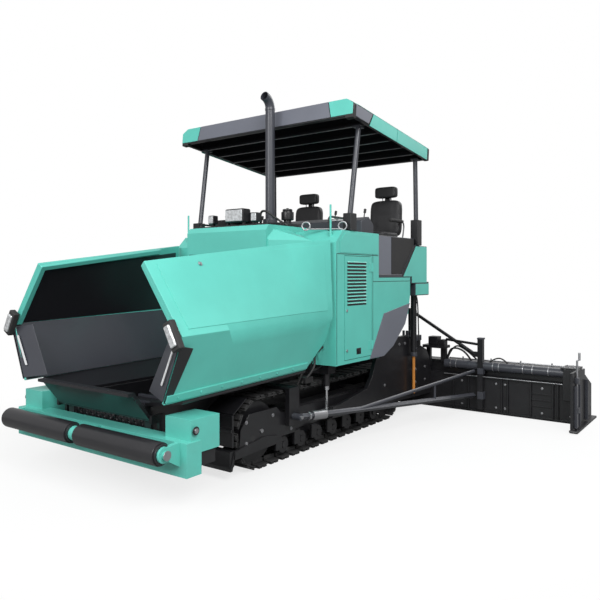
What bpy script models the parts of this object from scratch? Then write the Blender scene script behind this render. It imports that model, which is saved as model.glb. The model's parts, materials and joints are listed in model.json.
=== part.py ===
"""Tracked asphalt paver with hopper, operator platform, canopy and a bolted-out screed.

Metres, +Z up. The machine drives towards -Y and its left side is +X. Stations (y) are measured
rearwards from the push rollers' axis, and the empty "paver" moves the whole machine so that the
middle of its length is at the origin. Ground is z = 0.
"""

from math import atan2, ceil, cos, hypot, pi, radians, sin

import bmesh
import bpy
from mathutils import Euler, Matrix, Vector

# Whole machine
GAP = 0.0003               # between pieces that touch
PLAY = 0.008               # beside a piece that moves
BODY_X = 1.22              # half width over cabinets and push beam
FRAME_X = 0.60             # half width of the box frame between the tracks
HOOD_X = 0.60              # half width of the engine hood
CABINET_IN_X = HOOD_X + GAP
WALL = 0.04                # cabinet and hood walls

# Push rollers and beam
ROLLER_R = 0.095
ROLLER_Z = 0.49
ROLLER_IN_X = 0.14
ROLLER_OUT_X = 1.09
BEAM_Y = (0.155, 0.32)
BEAM_Z = (0.28, 0.555)

# Box frame and slat conveyors
FRAME_Y = (0.3203, 4.30)
FRAME_Z = (0.40, 0.98)
FLOOR_T = 0.08             # frame floor
SIDE_T = 0.08              # frame sides
CONVEYOR_Y = (0.40, 4.42)
CONVEYOR_H = 0.12
HOPPER_REAR_Y = 1.90       # front of the engine housing
HOPPER_SIDE_Z = 0.745      # top of the frame sides in the hopper

# Hopper wings, at rest half folded. Hinge axis climbs to the rear.
HINGE_X = 1.00
HINGE_FRONT = (0.10, 0.83)     # station, height
HINGE_RISE = 0.025
HINGE_R = 0.020
WING_T = 0.030
WING_REAR_Y = 2.28
APRON_X = 0.66
APRON_HINGE = (0.27, 0.655)    # station, height
APRON_TOP = (0.085, 0.90)
APRON_T = 0.028
APRON_LIP = 0.07

# Tracks
TRACK_IN_X = 0.645
TRACK_OUT_X = 0.945
TRACK_Y = (1.40, 4.00)     # idler and sprocket axles
TRACK_R = 0.36             # over the shoes
BELT_T = 0.055
SHOE_H = 0.022
SHOE_PITCH = 0.165
IDLER_X = (0.72, 0.87)

# Cabinets, hood and platform
CABINET_Y = (2.32, 4.09)
CABINET_Z = (0.915, 2.38)
DOOR_Y = (2.50, 3.08)
DOOR_Z = (0.96, 2.10)
DOOR_T = 0.030
HOOD_TOP = 2.44
HOOD_FLARE_X = 0.92        # where the hood meets the cabinets' fronts
PLATFORM_Y = (3.26, 4.60)
PLATFORM_Z = 1.86
DECK_T = 0.04
PILLAR_TOP = 2.28
SEAT_X = 0.66
SEAT_Y = (3.95, 4.42)

# Canopy, sloping down to the rear
CANOPY_X = 1.32
CANOPY_Y = (2.50, 4.43)
CANOPY_Z = 3.62            # underside at its front edge
CANOPY_H = 0.20
CANOPY_SLOPE = radians(-6.0)
CANOPY_BAYS = 6
CANOPY_RIB = 0.05          # edge and rib thickness
POST_R = 0.030
STACK_XY = (0.28, 2.37)    # exhaust stack
STACK_R = 0.055
STACK_TOP = 3.82

# Tow arms and screed
TOW_POINT = (2.60, 0.36)   # station, height
TOW_PIN_R = 0.030
ARM_X = (1.00, 1.05)
LIFT_Y = 4.43
LIFT_X = 1.105
AUGER = (4.64, 0.40)       # station, height
AUGER_R = 0.165
AUGER_END_X = 0.95
SCREED_Y = 5.10
SCREED_REAR_Y = 5.62
SCREED_Z = 0.010
SCREED_MAIN_X = 1.245
SCREED_END_X = 3.05
STAY_POST_X = 1.80
BRACE_EYE = (1.10, 1.82, 0.45)
BRACE_END_Z = 0.25
BRACE_END_X = STAY_POST_X - 0.08     # beside the screed's post
WALKWAY_D = 0.38

LENGTH = SCREED_REAR_Y + WALKWAY_D + ROLLER_R
ROLLER_Y = -LENGTH / 2 + ROLLER_R

for old in list(bpy.data.objects):
    bpy.data.objects.remove(old, do_unlink=True)

parts = bpy.data.collections.new("asphalt_paver")
cutters = bpy.data.collections.new("cutters")
for group in (parts, cutters):
    bpy.context.scene.collection.children.link(group)

root = bpy.data.objects.new("paver", None)
root.location = (0, ROLLER_Y, 0)
parts.objects.link(root)


# ---------------------------------------------------------------- materials
def material(name, colour, roughness, metallic=0.0):
    made = bpy.data.materials.new(name)
    made.use_nodes = True
    shader = made.node_tree.nodes["Principled BSDF"]
    shader.inputs["Base Color"].default_value = (*colour, 1)
    shader.inputs["Roughness"].default_value = roughness
    shader.inputs["Metallic"].default_value = metallic
    return made


TEAL = material("teal_paint", (0.13, 0.66, 0.55), 0.40)
BLACK = material("black_paint", (0.02, 0.02, 0.024), 0.45)
GREY = material("grey_paint", (0.12, 0.12, 0.15), 0.45)
STEEL = material("bare_steel", (0.55, 0.55, 0.56), 0.30, 1.0)
RUBBER = material("black_rubber", (0.025, 0.025, 0.025), 0.80)
VINYL = material("seat_vinyl", (0.03, 0.03, 0.03), 0.60)
ORANGE = material("orange_rod", (0.75, 0.32, 0.06), 0.40)


# ---------------------------------------------------------------- shapes
def add(name, mesh, paint, parent=root, helper=False):
    obj = bpy.data.objects.new(name, mesh)
    (cutters if helper else parts).objects.link(obj)
    obj.parent = parent
    if helper:
        obj.hide_render = True
        obj.display_type = "WIRE"
    if paint:
        mesh.materials.append(paint)
    return obj


def mesh_of(name, build):
    """A mesh made by build(bm), with its faces turned outwards."""
    bm = bmesh.new()
    build(bm)
    bmesh.ops.recalc_face_normals(bm, faces=bm.faces)
    mesh = bpy.data.meshes.new(name)
    bm.to_mesh(mesh)
    bm.free()
    return mesh


def box(name, x, y, z, paint=None, parent=root, helper=False):
    """A box between two values on each axis."""
    size = [hi - lo for lo, hi in (x, y, z)]
    middle = [(hi + lo) / 2 for lo, hi in (x, y, z)]

    def build(bm):
        bmesh.ops.create_cube(bm, size=1, matrix=Matrix.Diagonal((*size, 1)))

    obj = add(name, mesh_of(name, build), paint, parent, helper)
    obj.location = middle
    return obj


def rod(name, start, end, radius, paint=None, parent=root, helper=False, sides=20):
    """A round bar from start to end."""
    start, end = Vector(start), Vector(end)
    run = end - start

    def build(bm):
        bmesh.ops.create_cone(bm, cap_ends=True, segments=sides, radius1=radius,
                              radius2=radius, depth=run.length)

    obj = add(name, mesh_of(name, build), paint, parent, helper)
    obj.location = (start + end) / 2
    obj.rotation_euler = run.to_track_quat("Z", "Y").to_euler()
    for face in obj.data.polygons:
        face.use_smooth = len(face.vertices) == 4
    return obj


def pipe(name, points, radius, paint=None, parent=root, helper=False):
    """A tube through points, as a mesh with its caps welded."""
    curve = bpy.data.curves.new(name, "CURVE")
    curve.dimensions = "3D"
    curve.bevel_depth = radius
    curve.bevel_resolution = 3
    curve.use_fill_caps = True
    spline = curve.splines.new("POLY")
    spline.points.add(len(points) - 1)
    for point, place in zip(spline.points, points):
        point.co = (*place, 1)
    return from_curve(name, curve, Matrix(), paint, parent, helper)


def from_curve(name, curve, matrix, paint, parent, helper):
    guide = bpy.data.objects.new(name + "_guide", curve)
    parts.objects.link(guide)
    bpy.context.view_layer.update()
    graph = bpy.context.evaluated_depsgraph_get()
    mesh = bpy.data.meshes.new_from_object(guide.evaluated_get(graph))
    bpy.data.objects.remove(guide, do_unlink=True)
    bm = bmesh.new()
    bm.from_mesh(mesh)
    bmesh.ops.remove_doubles(bm, verts=bm.verts, dist=1e-5)
    bmesh.ops.recalc_face_normals(bm, faces=bm.faces)
    bm.to_mesh(mesh)
    bm.free()
    obj = add(name, mesh, paint, parent, helper)
    obj.matrix_local = matrix
    return obj


SIDE_VIEW = Euler((pi / 2, 0, pi / 2)).to_matrix().to_4x4()    # outline (y, z), thick along X
FRONT_VIEW = Euler((pi / 2, 0, 0)).to_matrix().to_4x4()        # outline (x, z), thick along Y


def slab(name, outlines, view, low, high, paint=None, parent=root, helper=False):
    """A flat outline, with any holes after it, thick from low to high along the view's axis."""
    curve = bpy.data.curves.new(name, "CURVE")
    curve.dimensions = "2D"
    curve.fill_mode = "BOTH"
    curve.extrude = (high - low) / 2
    for outline in outlines:
        spline = curve.splines.new("POLY")
        spline.points.add(len(outline) - 1)
        spline.use_cyclic_u = True
        for point, (a, b) in zip(spline.points, outline):
            point.co = (a, b, 0, 1)
    middle = (high + low) / 2
    place = (middle, 0, 0) if view is SIDE_VIEW else (0, middle, 0)
    return from_curve(name, curve, Matrix.Translation(place) @ view, paint, parent, helper)


def side_slab(name, outlines, side, x, paint=None, helper=False, parent=root):
    """A slab in side view whose two faces are at x[0] and x[1] on the side +1 or -1."""
    low, high = sorted((side * x[0], side * x[1]))
    return slab(name, outlines, SIDE_VIEW, low, high, paint, parent, helper)


def sided(side, x):
    return tuple(sorted((side * x[0], side * x[1])))


def combine(obj, other, operation):
    modifier = obj.modifiers.new(other.name, "BOOLEAN")
    modifier.operation = operation
    modifier.object = other


def cut(obj, *others):
    for other in others:
        combine(obj, other, "DIFFERENCE")


def join(obj, *others):
    for other in others:
        combine(obj, other, "UNION")


def inset(outline, distance):
    """The outline moved inwards by distance, for an outline that runs counter-clockwise."""
    moved = []
    for index, here in enumerate(outline):
        before, after = Vector(outline[index - 1]), Vector(outline[(index + 1) % len(outline)])
        here = Vector(here)
        into, out = (here - before).normalized(), (after - here).normalized()
        normal_in, normal_out = Vector((-into.y, into.x)), Vector((-out.y, out.x))
        mitre = (normal_in + normal_out).normalized()
        moved.append(here + mitre * distance / mitre.dot(normal_in))
    return [tuple(point) for point in moved]


def arc(centre, radius, first, last, steps):
    """Points on an arc, angles in degrees."""
    angles = [radians(first + (last - first) * step / steps) for step in range(steps + 1)]
    return [(centre[0] + radius * cos(a), centre[1] + radius * sin(a)) for a in angles]


def loop_outline(front, rear, radius, steps=14):
    """A closed belt's outline round two equal wheels, counter-clockwise from the top front."""
    return arc(front, radius, 90, 270, steps) + arc(rear, radius, -90, 90, steps)


def sheet(name, sections, thickness, paint, parent=root, helper=False):
    """A plate through sections of equal point counts, each thick about its middle."""
    bm = bmesh.new()
    rows = [[bm.verts.new(point) for point in section] for section in sections]
    for near, far in zip(rows, rows[1:]):
        for index in range(len(near) - 1):
            bm.faces.new((near[index], near[index + 1], far[index + 1], far[index]))
    bmesh.ops.recalc_face_normals(bm, faces=bm.faces)
    mesh = bpy.data.meshes.new(name)
    bm.to_mesh(mesh)
    bm.free()
    obj = add(name, mesh, paint, parent, helper)
    solid = obj.modifiers.new("thickness", "SOLIDIFY")
    solid.thickness = thickness
    solid.offset = 0
    solid.use_even_offset = True
    return obj


def axis_empty(name, place, rotation=(0, 0, 0)):
    """An empty on a joint's axis, which carries the pieces that turn or slide there."""
    empty = bpy.data.objects.new(name, None)
    empty.location = place
    empty.rotation_euler = rotation
    empty.parent = root
    parts.objects.link(empty)
    return empty


def on_axis(obj, empty):
    """Hangs obj from empty and keeps it where it is."""
    bpy.context.view_layer.update()
    place = root.matrix_world.inverted() @ empty.matrix_world
    obj.parent = empty
    obj.matrix_parent_inverse = place.inverted()
    return obj


SIDES = (("left", 1), ("right", -1))


# ---------------------------------------------------------------- frame and conveyors
def main_frame():
    frame = box("main_frame", (-FRAME_X, FRAME_X), FRAME_Y, FRAME_Z, BLACK)
    inner_x = FRAME_X - SIDE_T
    floor = FRAME_Z[0] + FLOOR_T
    beyond = 0.1
    cut(
        frame,
        box("tunnel_cutter", (-inner_x, inner_x), (FRAME_Y[0] - beyond, FRAME_Y[1] + beyond),
            (floor, FRAME_Z[1] - 0.06), helper=True),
        box("hopper_cutter", (-1, 1), (FRAME_Y[0] - beyond, HOPPER_REAR_Y), (HOPPER_SIDE_Z, 1.2), helper=True),
    )
    join(
        frame,
        box("front_crossmember", (-1.18, 1.18), (FRAME_Y[0], 0.52), (0.33, 0.44), helper=True),
        box("conveyor_shaft_seat", (-0.03, 0.03), (0.50, 0.62), (floor - 0.01, 0.60), helper=True),
    )
    for name, side in SIDES:
        # Hooked bracket over the track, which holds the brace's front eye
        hook = [(FRAME_X - 0.05, 0.724), (0.975, 0.724), (0.975, 0.36), (1.03, 0.36), (1.03, 0.742),
                (FRAME_X - 0.05, 0.742)]
        bracket = slab("brace_bracket_" + name, [[(side * x, z) for x, z in hook]], FRONT_VIEW, 1.75, 1.92,
                       helper=True)
        # Ear that carries the apron's hinge tube
        ear = side_slab("apron_ear_" + name, [[(0.25, 0.62), (0.337, 0.62), (0.337, 0.42), (0.40, 0.42),
                                               (0.40, 0.69), (0.25, 0.69)]],
                        side, (APRON_X + 2 * GAP, APRON_X + 0.035), helper=True)
        join(frame, bracket, ear)
        # Carrier for the cabinet and the tow-point cylinder
        join(frame, box("tow_guide_" + name, sided(side, (FRAME_X - 0.01, 1.06)), (2.42, 2.56),
                        (0.80, 0.9147), helper=True))
    return frame


def conveyors():
    low = FRAME_Z[0] + FLOOR_T + GAP
    radius = CONVEYOR_H / 2
    ends = [(CONVEYOR_Y[0] + radius, low + radius), (CONVEYOR_Y[1] - radius, low + radius)]
    for name, side in SIDES:
        side_slab("conveyor_" + name, [loop_outline(*ends, radius, 8)], side, (0.04, 0.50), BLACK)


main_frame()
conveyors()


# ---------------------------------------------------------------- push beam and rollers
def push_beam():
    beam = box("push_beam", (-BODY_X, BODY_X), BEAM_Y, BEAM_Z, TEAL)
    for name, side in SIDES:
        hitch = box("hitch_box_" + name, sided(side, (0.90, 1.20)), (0.22, 0.55), (0.4503, 0.73), helper=True)
        join(beam, hitch)
        arm = side_slab("roller_arm_" + name, [
            [(0.16, 0.36), (0.16, 0.56), *arc((0, ROLLER_Z), 0.065, 60, 300, 10)]
        ], side, (ROLLER_OUT_X + PLAY, ROLLER_OUT_X + 0.05), helper=True)
        join(beam, arm)
        pin = rod("roller_pin_" + name, (side * (ROLLER_OUT_X + 0.02), 0, ROLLER_Z),
                  (side * (ROLLER_OUT_X + 0.075), 0, ROLLER_Z), 0.032, helper=True)
        join(beam, pin)
    middle = side_slab("roller_arm_middle", [
        [(0.16, 0.36), (0.16, 0.56), *arc((0, ROLLER_Z), 0.065, 60, 300, 10)]
    ], 1, (-ROLLER_IN_X + PLAY, ROLLER_IN_X - PLAY), helper=True)
    join(beam, middle)
    # Axle bores in the arms
    bore = rod("roller_axle_bore", (-ROLLER_OUT_X - 0.03, 0, ROLLER_Z), (ROLLER_OUT_X + 0.03, 0, ROLLER_Z),
               0.0205, helper=True)
    cut(beam, bore)
    return beam


def push_rollers():
    for name, side in SIDES:
        axle = axis_empty("push_roller_axis_" + name, (0, 0, ROLLER_Z))
        roller = rod("push_roller_" + name, (side * ROLLER_IN_X, 0, ROLLER_Z),
                     (side * ROLLER_OUT_X, 0, ROLLER_Z), ROLLER_R, GREY, sides=32)
        stub = rod("push_roller_stub_" + name, (side * (ROLLER_IN_X - 0.10), 0, ROLLER_Z),
                   (side * (ROLLER_OUT_X + 0.028), 0, ROLLER_Z), 0.020, helper=True)
        join(roller, stub)
        on_axis(roller, axle)
        on_axis(stub, axle)


push_beam()
push_rollers()


# ---------------------------------------------------------------- hopper
def hinge_height(y):
    return HINGE_FRONT[1] + HINGE_RISE * (y - HINGE_FRONT[0])


def hopper_floors():
    """Sloping plates from the wing hinges down to the conveyors, each with its hinge tube."""
    inner_x, inner_z = 0.55, HOPPER_SIDE_Z + 0.015 + GAP
    for name, side in SIDES:
        sections = []
        for y in (0.30, HOPPER_REAR_Y - 0.005):
            outer = Vector((HINGE_X, hinge_height(y)))
            inner = Vector((inner_x, inner_z))
            edge = outer + (inner - outer).normalized() * HINGE_R * 0.5
            sections.append([(side * inner.x, y, inner.y), (side * edge.x, y, edge.y)])
        plate = sheet("hopper_floor_" + name, sections, 0.03, BLACK)
        tube = rod("hinge_tube_" + name, (side * HINGE_X, 0.30, hinge_height(0.30)),
                   (side * HINGE_X, 2.04, hinge_height(2.04)), HINGE_R, helper=True)
        join(plate, tube)


# Wing sections: station, then x and z at the hinge side, the fold and the top edge.
# The hinge side stands HINGE_R + PLAY off the axis.
WING_SECTIONS = (
    # y,          hinge x, lift,  fold x, fold z, top x, top z
    (0.10,        0.0055,  0.0199, 1.213,  1.405,  0.765, 2.000),
    (1.75,        0.0055,  0.0199, 1.200,  1.452,  0.985, 2.205),
    (2.04,        0.0055,  0.0199, 1.197,  1.458,  1.085, 2.238),
    (WING_REAR_Y, 0.100,   0.300, 1.195,  1.462,  1.165, 2.265),
)


def hopper_wings():
    tilt = atan2(HINGE_RISE, 1)
    for name, side in SIDES:
        axis = axis_empty("hopper_wing_axis_" + name,
                          (side * HINGE_X, HINGE_FRONT[0], HINGE_FRONT[1]), (tilt, 0, 0))
        sections = [
            [(side * (HINGE_X + out), y, hinge_height(y) + lift), (side * fold_x, y, fold_z),
             (side * top_x, y, top_z)]
            for y, out, lift, fold_x, fold_z, top_x, top_z in WING_SECTIONS
        ]
        wing = sheet("hopper_wing_" + name, sections, WING_T, TEAL)
        on_axis(wing, axis)


def apron():
    """Flap at the hopper's mouth: a leaning plate with a flat lip, on a hinge tube."""
    axis = axis_empty("apron_axis", (0, *APRON_HINGE))
    foot, top = Vector(APRON_HINGE), Vector(APRON_TOP)
    along = (top - foot).normalized()
    front = Vector((-along.y, along.x)) * APRON_T / 2
    lip = Vector((-APRON_LIP, 0))
    down = Vector((0, -APRON_T / 2))
    outline = [foot - front, top - front, top - front + lip, top - front + lip + down * 2,
               top + front + down, foot + front]
    flap = side_slab("front_apron", [outline], 1, (-APRON_X, APRON_X), BLACK)
    tube = rod("apron_tube", (-APRON_X, *APRON_HINGE), (APRON_X, *APRON_HINGE), 0.018, helper=True)
    join(flap, tube)
    on_axis(flap, axis)
    on_axis(tube, axis)


hopper_floors()
hopper_wings()
apron()


# ---------------------------------------------------------------- tracks
def track_outline(front, rear):
    """The shoes' outline round idler and sprocket: each shoe has a raised grouser."""
    straight = rear[0] - front[0]
    root_r = TRACK_R - SHOE_H
    around = 2 * straight + 2 * pi * root_r
    shoes = ceil(around / SHOE_PITCH)
    pitch = around / shoes

    def at(travel, height):
        travel %= around
        radius = root_r + height
        if travel < straight:
            return front[0] + travel, front[1] - radius
        travel -= straight
        if travel < pi * root_r:
            angle = travel / root_r - pi / 2
            return rear[0] + radius * cos(angle), rear[1] + radius * sin(angle)
        travel -= pi * root_r
        if travel < straight:
            return rear[0] - travel, rear[1] + radius
        angle = (travel - straight) / root_r + pi / 2
        return front[0] + radius * cos(angle), front[1] + radius * sin(angle)

    outline = []
    for shoe in range(shoes):
        start = shoe * pitch
        # share of the pitch, height
        for share, height in ((0.04, 0), (0.10, SHOE_H), (0.88, SHOE_H), (0.96, 0)):
            outline.append(at(start + share * pitch, height))
    return outline


def tracks():
    front, rear = (TRACK_Y[0], TRACK_R), (TRACK_Y[1], TRACK_R)
    inner_r = TRACK_R - BELT_T - SHOE_H * 0.5
    inner = loop_outline(front, rear, inner_r, 14)
    wheel_r = inner_r * cos(pi / 28) - GAP
    for name, side in SIDES:
        side_slab("track_" + name, [track_outline(front, rear), inner], side,
                  (TRACK_IN_X, TRACK_OUT_X), RUBBER)
        beam = box("track_frame_" + name, sided(side, (0.715, 0.875)), (1.60, 3.80), (0.19, 0.50), BLACK)
        cheek = [(1.19, 0.27), (3.30, 0.27), (3.62, 0.24), (3.72, 0.30), (3.72, 0.47), (1.68, 0.50), (1.33, 0.50),
                 (1.19, 0.46)]
        cover = side_slab("track_cover_" + name, [cheek], side, (0.870, 0.905), helper=True)
        join(beam, cover)
        for place, y in (("front", 1.95), ("rear", 3.35)):
            join(beam, box(f"track_arm_{place}_{name}", sided(side, (FRAME_X + GAP, 0.75)),
                           (y, y + 0.20), (0.405, 0.495), helper=True))
        rollers = 5
        for index in range(rollers):
            y = 1.86 + index * 0.40
            radius = 0.080
            z = TRACK_R - inner_r + GAP + radius
            join(beam, rod(f"bottom_roller_{index}_{name}", (side * 0.73, y, z), (side * 0.86, y, z),
                           radius, helper=True, sides=18))
        # Front guard in front of the lower shoes, bolted to the cover
        guard = side_slab("track_guard_" + name,
                          [[(0.93, 0.09), (0.96, 0.09), (1.015, 0.27), (0.985, 0.27)]], side,
                          (TRACK_IN_X - 0.02, 0.975), helper=True)
        rail = side_slab("guard_rail_" + name,
                         [[(0.985, 0.19), (1.62, 0.21), (1.62, 0.29), (1.40, 0.32), (0.985, 0.268)]], side,
                         (0.953, 0.985), helper=True)
        strut = box("guard_strut_" + name, sided(side, (0.89, 0.96)), (1.36, 1.58), (0.275, 0.305), helper=True)
        join(beam, strut, rail, guard)
        wheels = (
            # name, axle station, radius of the rim, radius of the hub, hub's inner and outer x
            ("idler", TRACK_Y[0], wheel_r, 0.06, 0.70, 0.88),
            ("sprocket", TRACK_Y[1], wheel_r, 0.12, FRAME_X + GAP, 0.90),
        )
        for wheel_name, y, rim, hub, hub_in, hub_out in wheels:
            join(beam, rod(f"{wheel_name}_{name}", (side * IDLER_X[0], y, TRACK_R),
                           (side * IDLER_X[1], y, TRACK_R), rim, helper=True, sides=32))
            join(beam, rod(f"{wheel_name}_hub_{name}", (side * hub_in, y, TRACK_R),
                           (side * hub_out, y, TRACK_R), hub, helper=True))


tracks()


# ---------------------------------------------------------------- cabinets, doors, hood
CABINET_OUTLINE = [
    # station, height, counter-clockwise from the lower front corner
    (CABINET_Y[0], CABINET_Z[0]), (3.28, CABINET_Z[0]), (3.44, 1.28), (4.03, 1.39), (CABINET_Y[1], 1.62),
    (CABINET_Y[1], PLATFORM_Z - GAP), (PLATFORM_Y[0] - GAP, PLATFORM_Z - GAP),
    (PLATFORM_Y[0] - GAP, CABINET_Z[1]), (2.46, CABINET_Z[1]), (CABINET_Y[0], 2.24),
]


def cabinets():
    for name, side in SIDES:
        shell = side_slab("cabinet_" + name, [CABINET_OUTLINE], side, (CABINET_IN_X, BODY_X), TEAL)
        hollow = side_slab("cabinet_hollow_" + name, [inset(CABINET_OUTLINE, WALL)], side,
                           (CABINET_IN_X + WALL, BODY_X - WALL), helper=True)
        opening = box("door_opening_" + name, sided(side, (BODY_X - 2 * WALL, BODY_X + 0.1)),
                      (DOOR_Y[0] - 0.006, DOOR_Y[1] + 0.006), (DOOR_Z[0] - 0.006, DOOR_Z[1] + 0.006),
                      helper=True)
        cut(shell, hollow, opening)


def service_doors():
    """Each door stands a little proud and hinges on a vertical pin behind its rear edge."""
    proud = 0.004
    pin_x, pin_y, pin_r = BODY_X + 0.008, DOOR_Y[1] + 0.014, 0.0075
    for name, side in SIDES:
        axis = axis_empty("service_door_axis_" + name, (side * pin_x, pin_y, DOOR_Z[0]))
        door = box("service_door_" + name, sided(side, (BODY_X - DOOR_T + proud, BODY_X + proud)),
                   (DOOR_Y[0], DOOR_Y[1] - 0.006), DOOR_Z, TEAL)
        for index, z in enumerate((DOOR_Z[0] + 0.12, DOOR_Z[1] - 0.12)):
            barrel = rod(f"door_hinge_{index}_{name}", (side * pin_x, pin_y, z - 0.05),
                         (side * pin_x, pin_y, z + 0.05), pin_r, helper=True, sides=12)
            leaf = box(f"door_leaf_{index}_{name}", sided(side, (BODY_X + 2 * GAP, BODY_X + 0.010)),
                       (DOOR_Y[1] - 0.06, pin_y), (z - 0.05, z + 0.05), helper=True)
            join(door, leaf, barrel)
            on_axis(barrel, axis)
            on_axis(leaf, axis)
        on_axis(door, axis)


def hull(name, points, paint=None, helper=False):
    """The convex solid round a few corner points."""
    def build(bm):
        bmesh.ops.convex_hull(bm, input=[bm.verts.new(point) for point in points])

    return add(name, mesh_of(name, build), paint, helper=helper)


def hood():
    """Hollow engine housing, whose front flares to the cabinets above the hopper."""
    rear = PLATFORM_Y[0] - GAP
    base = FRAME_Z[1] + GAP
    shell = side_slab("engine_hood", [[
        (HOPPER_REAR_Y, base), (rear, base), (rear, HOOD_TOP),
        (HOPPER_REAR_Y + 0.05, HOOD_TOP), (HOPPER_REAR_Y, HOOD_TOP - 0.06),
    ]], 1, (-HOOD_X, HOOD_X), TEAL)
    flare_y = CABINET_Y[0] - GAP
    flare = hull("hood_flare", [
        (side * x, y, z) for _, side in SIDES for x, y, z in (
            (HOOD_X - 0.10, HOPPER_REAR_Y + 0.04, HOOD_TOP - 0.01), (HOOD_X - 0.10, flare_y, HOOD_TOP - 0.01),
            (HOOD_FLARE_X, flare_y, 2.27), (HOOD_FLARE_X, flare_y, 2.06),
            (HOOD_X + 0.02, HOPPER_REAR_Y + 0.02, 2.27), (HOOD_X + 0.02, HOPPER_REAR_Y + 0.02, 2.06),
        )
    ], helper=True)
    join(shell, flare)
    hollow = box("hood_hollow", (-HOOD_X + WALL, HOOD_X - WALL), (HOPPER_REAR_Y + WALL, rear - WALL),
                 (base - 0.1, HOOD_TOP - 0.12), helper=True)
    cut(shell, hollow)


def engine():
    base = FRAME_Z[1] + GAP
    box("engine", (-0.42, 0.42), (2.12, 3.10), (base, 1.90), GREY)


cabinets()
service_doors()
hood()
engine()


# ---------------------------------------------------------------- platform
def platform():
    y0, y1 = PLATFORM_Y
    floor = box("operator_platform", (-BODY_X, BODY_X), (y0 + GAP, y1), (PLATFORM_Z, PLATFORM_Z + DECK_T), BLACK)
    for name, side in SIDES:
        x = sided(side, (BODY_X - 0.07, BODY_X - 0.02))
        join(floor, box("platform_side_" + name, x, (y0 + GAP, 4.24), (PLATFORM_Z + 0.01, 2.37), helper=True))
        pillar = side_slab("rear_pillar_" + name, [[
            (4.12, 1.78), (y1, 1.78), (y1, PILLAR_TOP), (4.24, PILLAR_TOP), (3.84, PLATFORM_Z + 0.002),
            (4.12, PLATFORM_Z + 0.002),
        ]], side, (BODY_X - 0.045, BODY_X), helper=True)
        join(floor, pillar)
        step = box("rear_step_" + name, sided(side, (BODY_X - 0.30, BODY_X)), (4.24, 4.66), (1.62, 1.80), helper=True)
        join(floor, step)
    join(floor, box("platform_sill", (-BODY_X + 0.03, BODY_X - 0.03), (4.28, y1), (1.70, PLATFORM_Z + 0.01),
                    helper=True))
    # Frame legs that carry the deck from the box frame
    for name, side in SIDES:
        join(floor, box("deck_leg_" + name, sided(side, (0.40, 0.55)), (4.10, 4.26), (FRAME_Z[1] + GAP, 1.87),
                        helper=True))
    return floor


def seats():
    top = PLATFORM_Z + DECK_T
    for name, side in SIDES:
        x = side * SEAT_X
        base = box("seat_base_" + name, (x - 0.17, x + 0.17), (SEAT_Y[0] + 0.05, SEAT_Y[1] - 0.05),
                   (top + GAP, 2.33), BLACK)
        join(base, box("seat_pan_" + name, (x - 0.23, x + 0.23), SEAT_Y, (2.30, 2.34), helper=True))
        join(base, box("seat_bracket_" + name, (x - 0.05, x + 0.05), (SEAT_Y[1] - 0.04, SEAT_Y[1] + 0.13),
                       (2.30, 2.34), helper=True))
        join(base, box("seat_spine_" + name, (x - 0.05, x + 0.05), (SEAT_Y[1] + 0.1103, SEAT_Y[1] + 0.13),
                       (2.30, 3.00), helper=True))
        pad = side_slab("seat_pad_" + name, [[
            (SEAT_Y[0], 2.3403), (SEAT_Y[1] + 0.11, 2.3403), (SEAT_Y[1] + 0.11, 3.12), (SEAT_Y[1] + 0.03, 3.12),
            (SEAT_Y[1] - 0.02, 2.47), (SEAT_Y[0] + 0.02, 2.47), (SEAT_Y[0], 2.44),
        ]], side, (SEAT_X - 0.25, SEAT_X + 0.25), VINYL)
        for cheek in (1, -1):
            notch = box(f"headrest_notch_{cheek}_{name}", sided(cheek, (0.15, 0.4)), (SEAT_Y[0], SEAT_Y[1] + 0.3),
                        (2.93, 3.3), helper=True)
            notch.location.x += x
            cut(pad, notch)


def console():
    top = PLATFORM_Z + DECK_T
    desk = slab("control_console", [[
        (y, z) for y, z in ((3.32, top + GAP), (3.58, top + GAP), (3.62, 2.52), (3.50, 2.62), (3.32, 2.56))
    ]], SIDE_VIEW, -0.95, 0.95, BLACK)
    return desk


platform()
seats()
console()


# ---------------------------------------------------------------- canopy, posts, stack
def canopy_height(y):
    """Height of the canopy's underside at a station."""
    return CANOPY_Z + (y - CANOPY_Y[0]) * sin(CANOPY_SLOPE) / cos(CANOPY_SLOPE)


def canopy():
    """Deep roof panel, ribbed underneath: the bays between the ribs are hollow and open downwards."""
    axis = axis_empty("canopy_front_edge", (0, CANOPY_Y[0], CANOPY_Z), (CANOPY_SLOPE, 0, 0))
    depth = (CANOPY_Y[1] - CANOPY_Y[0]) / cos(CANOPY_SLOPE)
    profile = [(-CANOPY_X, 0), (CANOPY_X, 0), (CANOPY_X, CANOPY_H - 0.05), (CANOPY_X - 0.09, CANOPY_H),
               (-CANOPY_X + 0.09, CANOPY_H), (-CANOPY_X, CANOPY_H - 0.05)]
    roof = slab("canopy_roof", [profile], FRONT_VIEW, 0, depth, TEAL, parent=axis)
    pitch = (depth - CANOPY_RIB) / CANOPY_BAYS
    for bay in range(CANOPY_BAYS):
        start = CANOPY_RIB + bay * pitch
        cut(roof, box(f"canopy_bay_{bay}", (-CANOPY_X + CANOPY_RIB, CANOPY_X - CANOPY_RIB),
                      (start, start + pitch - CANOPY_RIB), (-0.1, CANOPY_H - WALL), parent=axis, helper=True))


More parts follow.
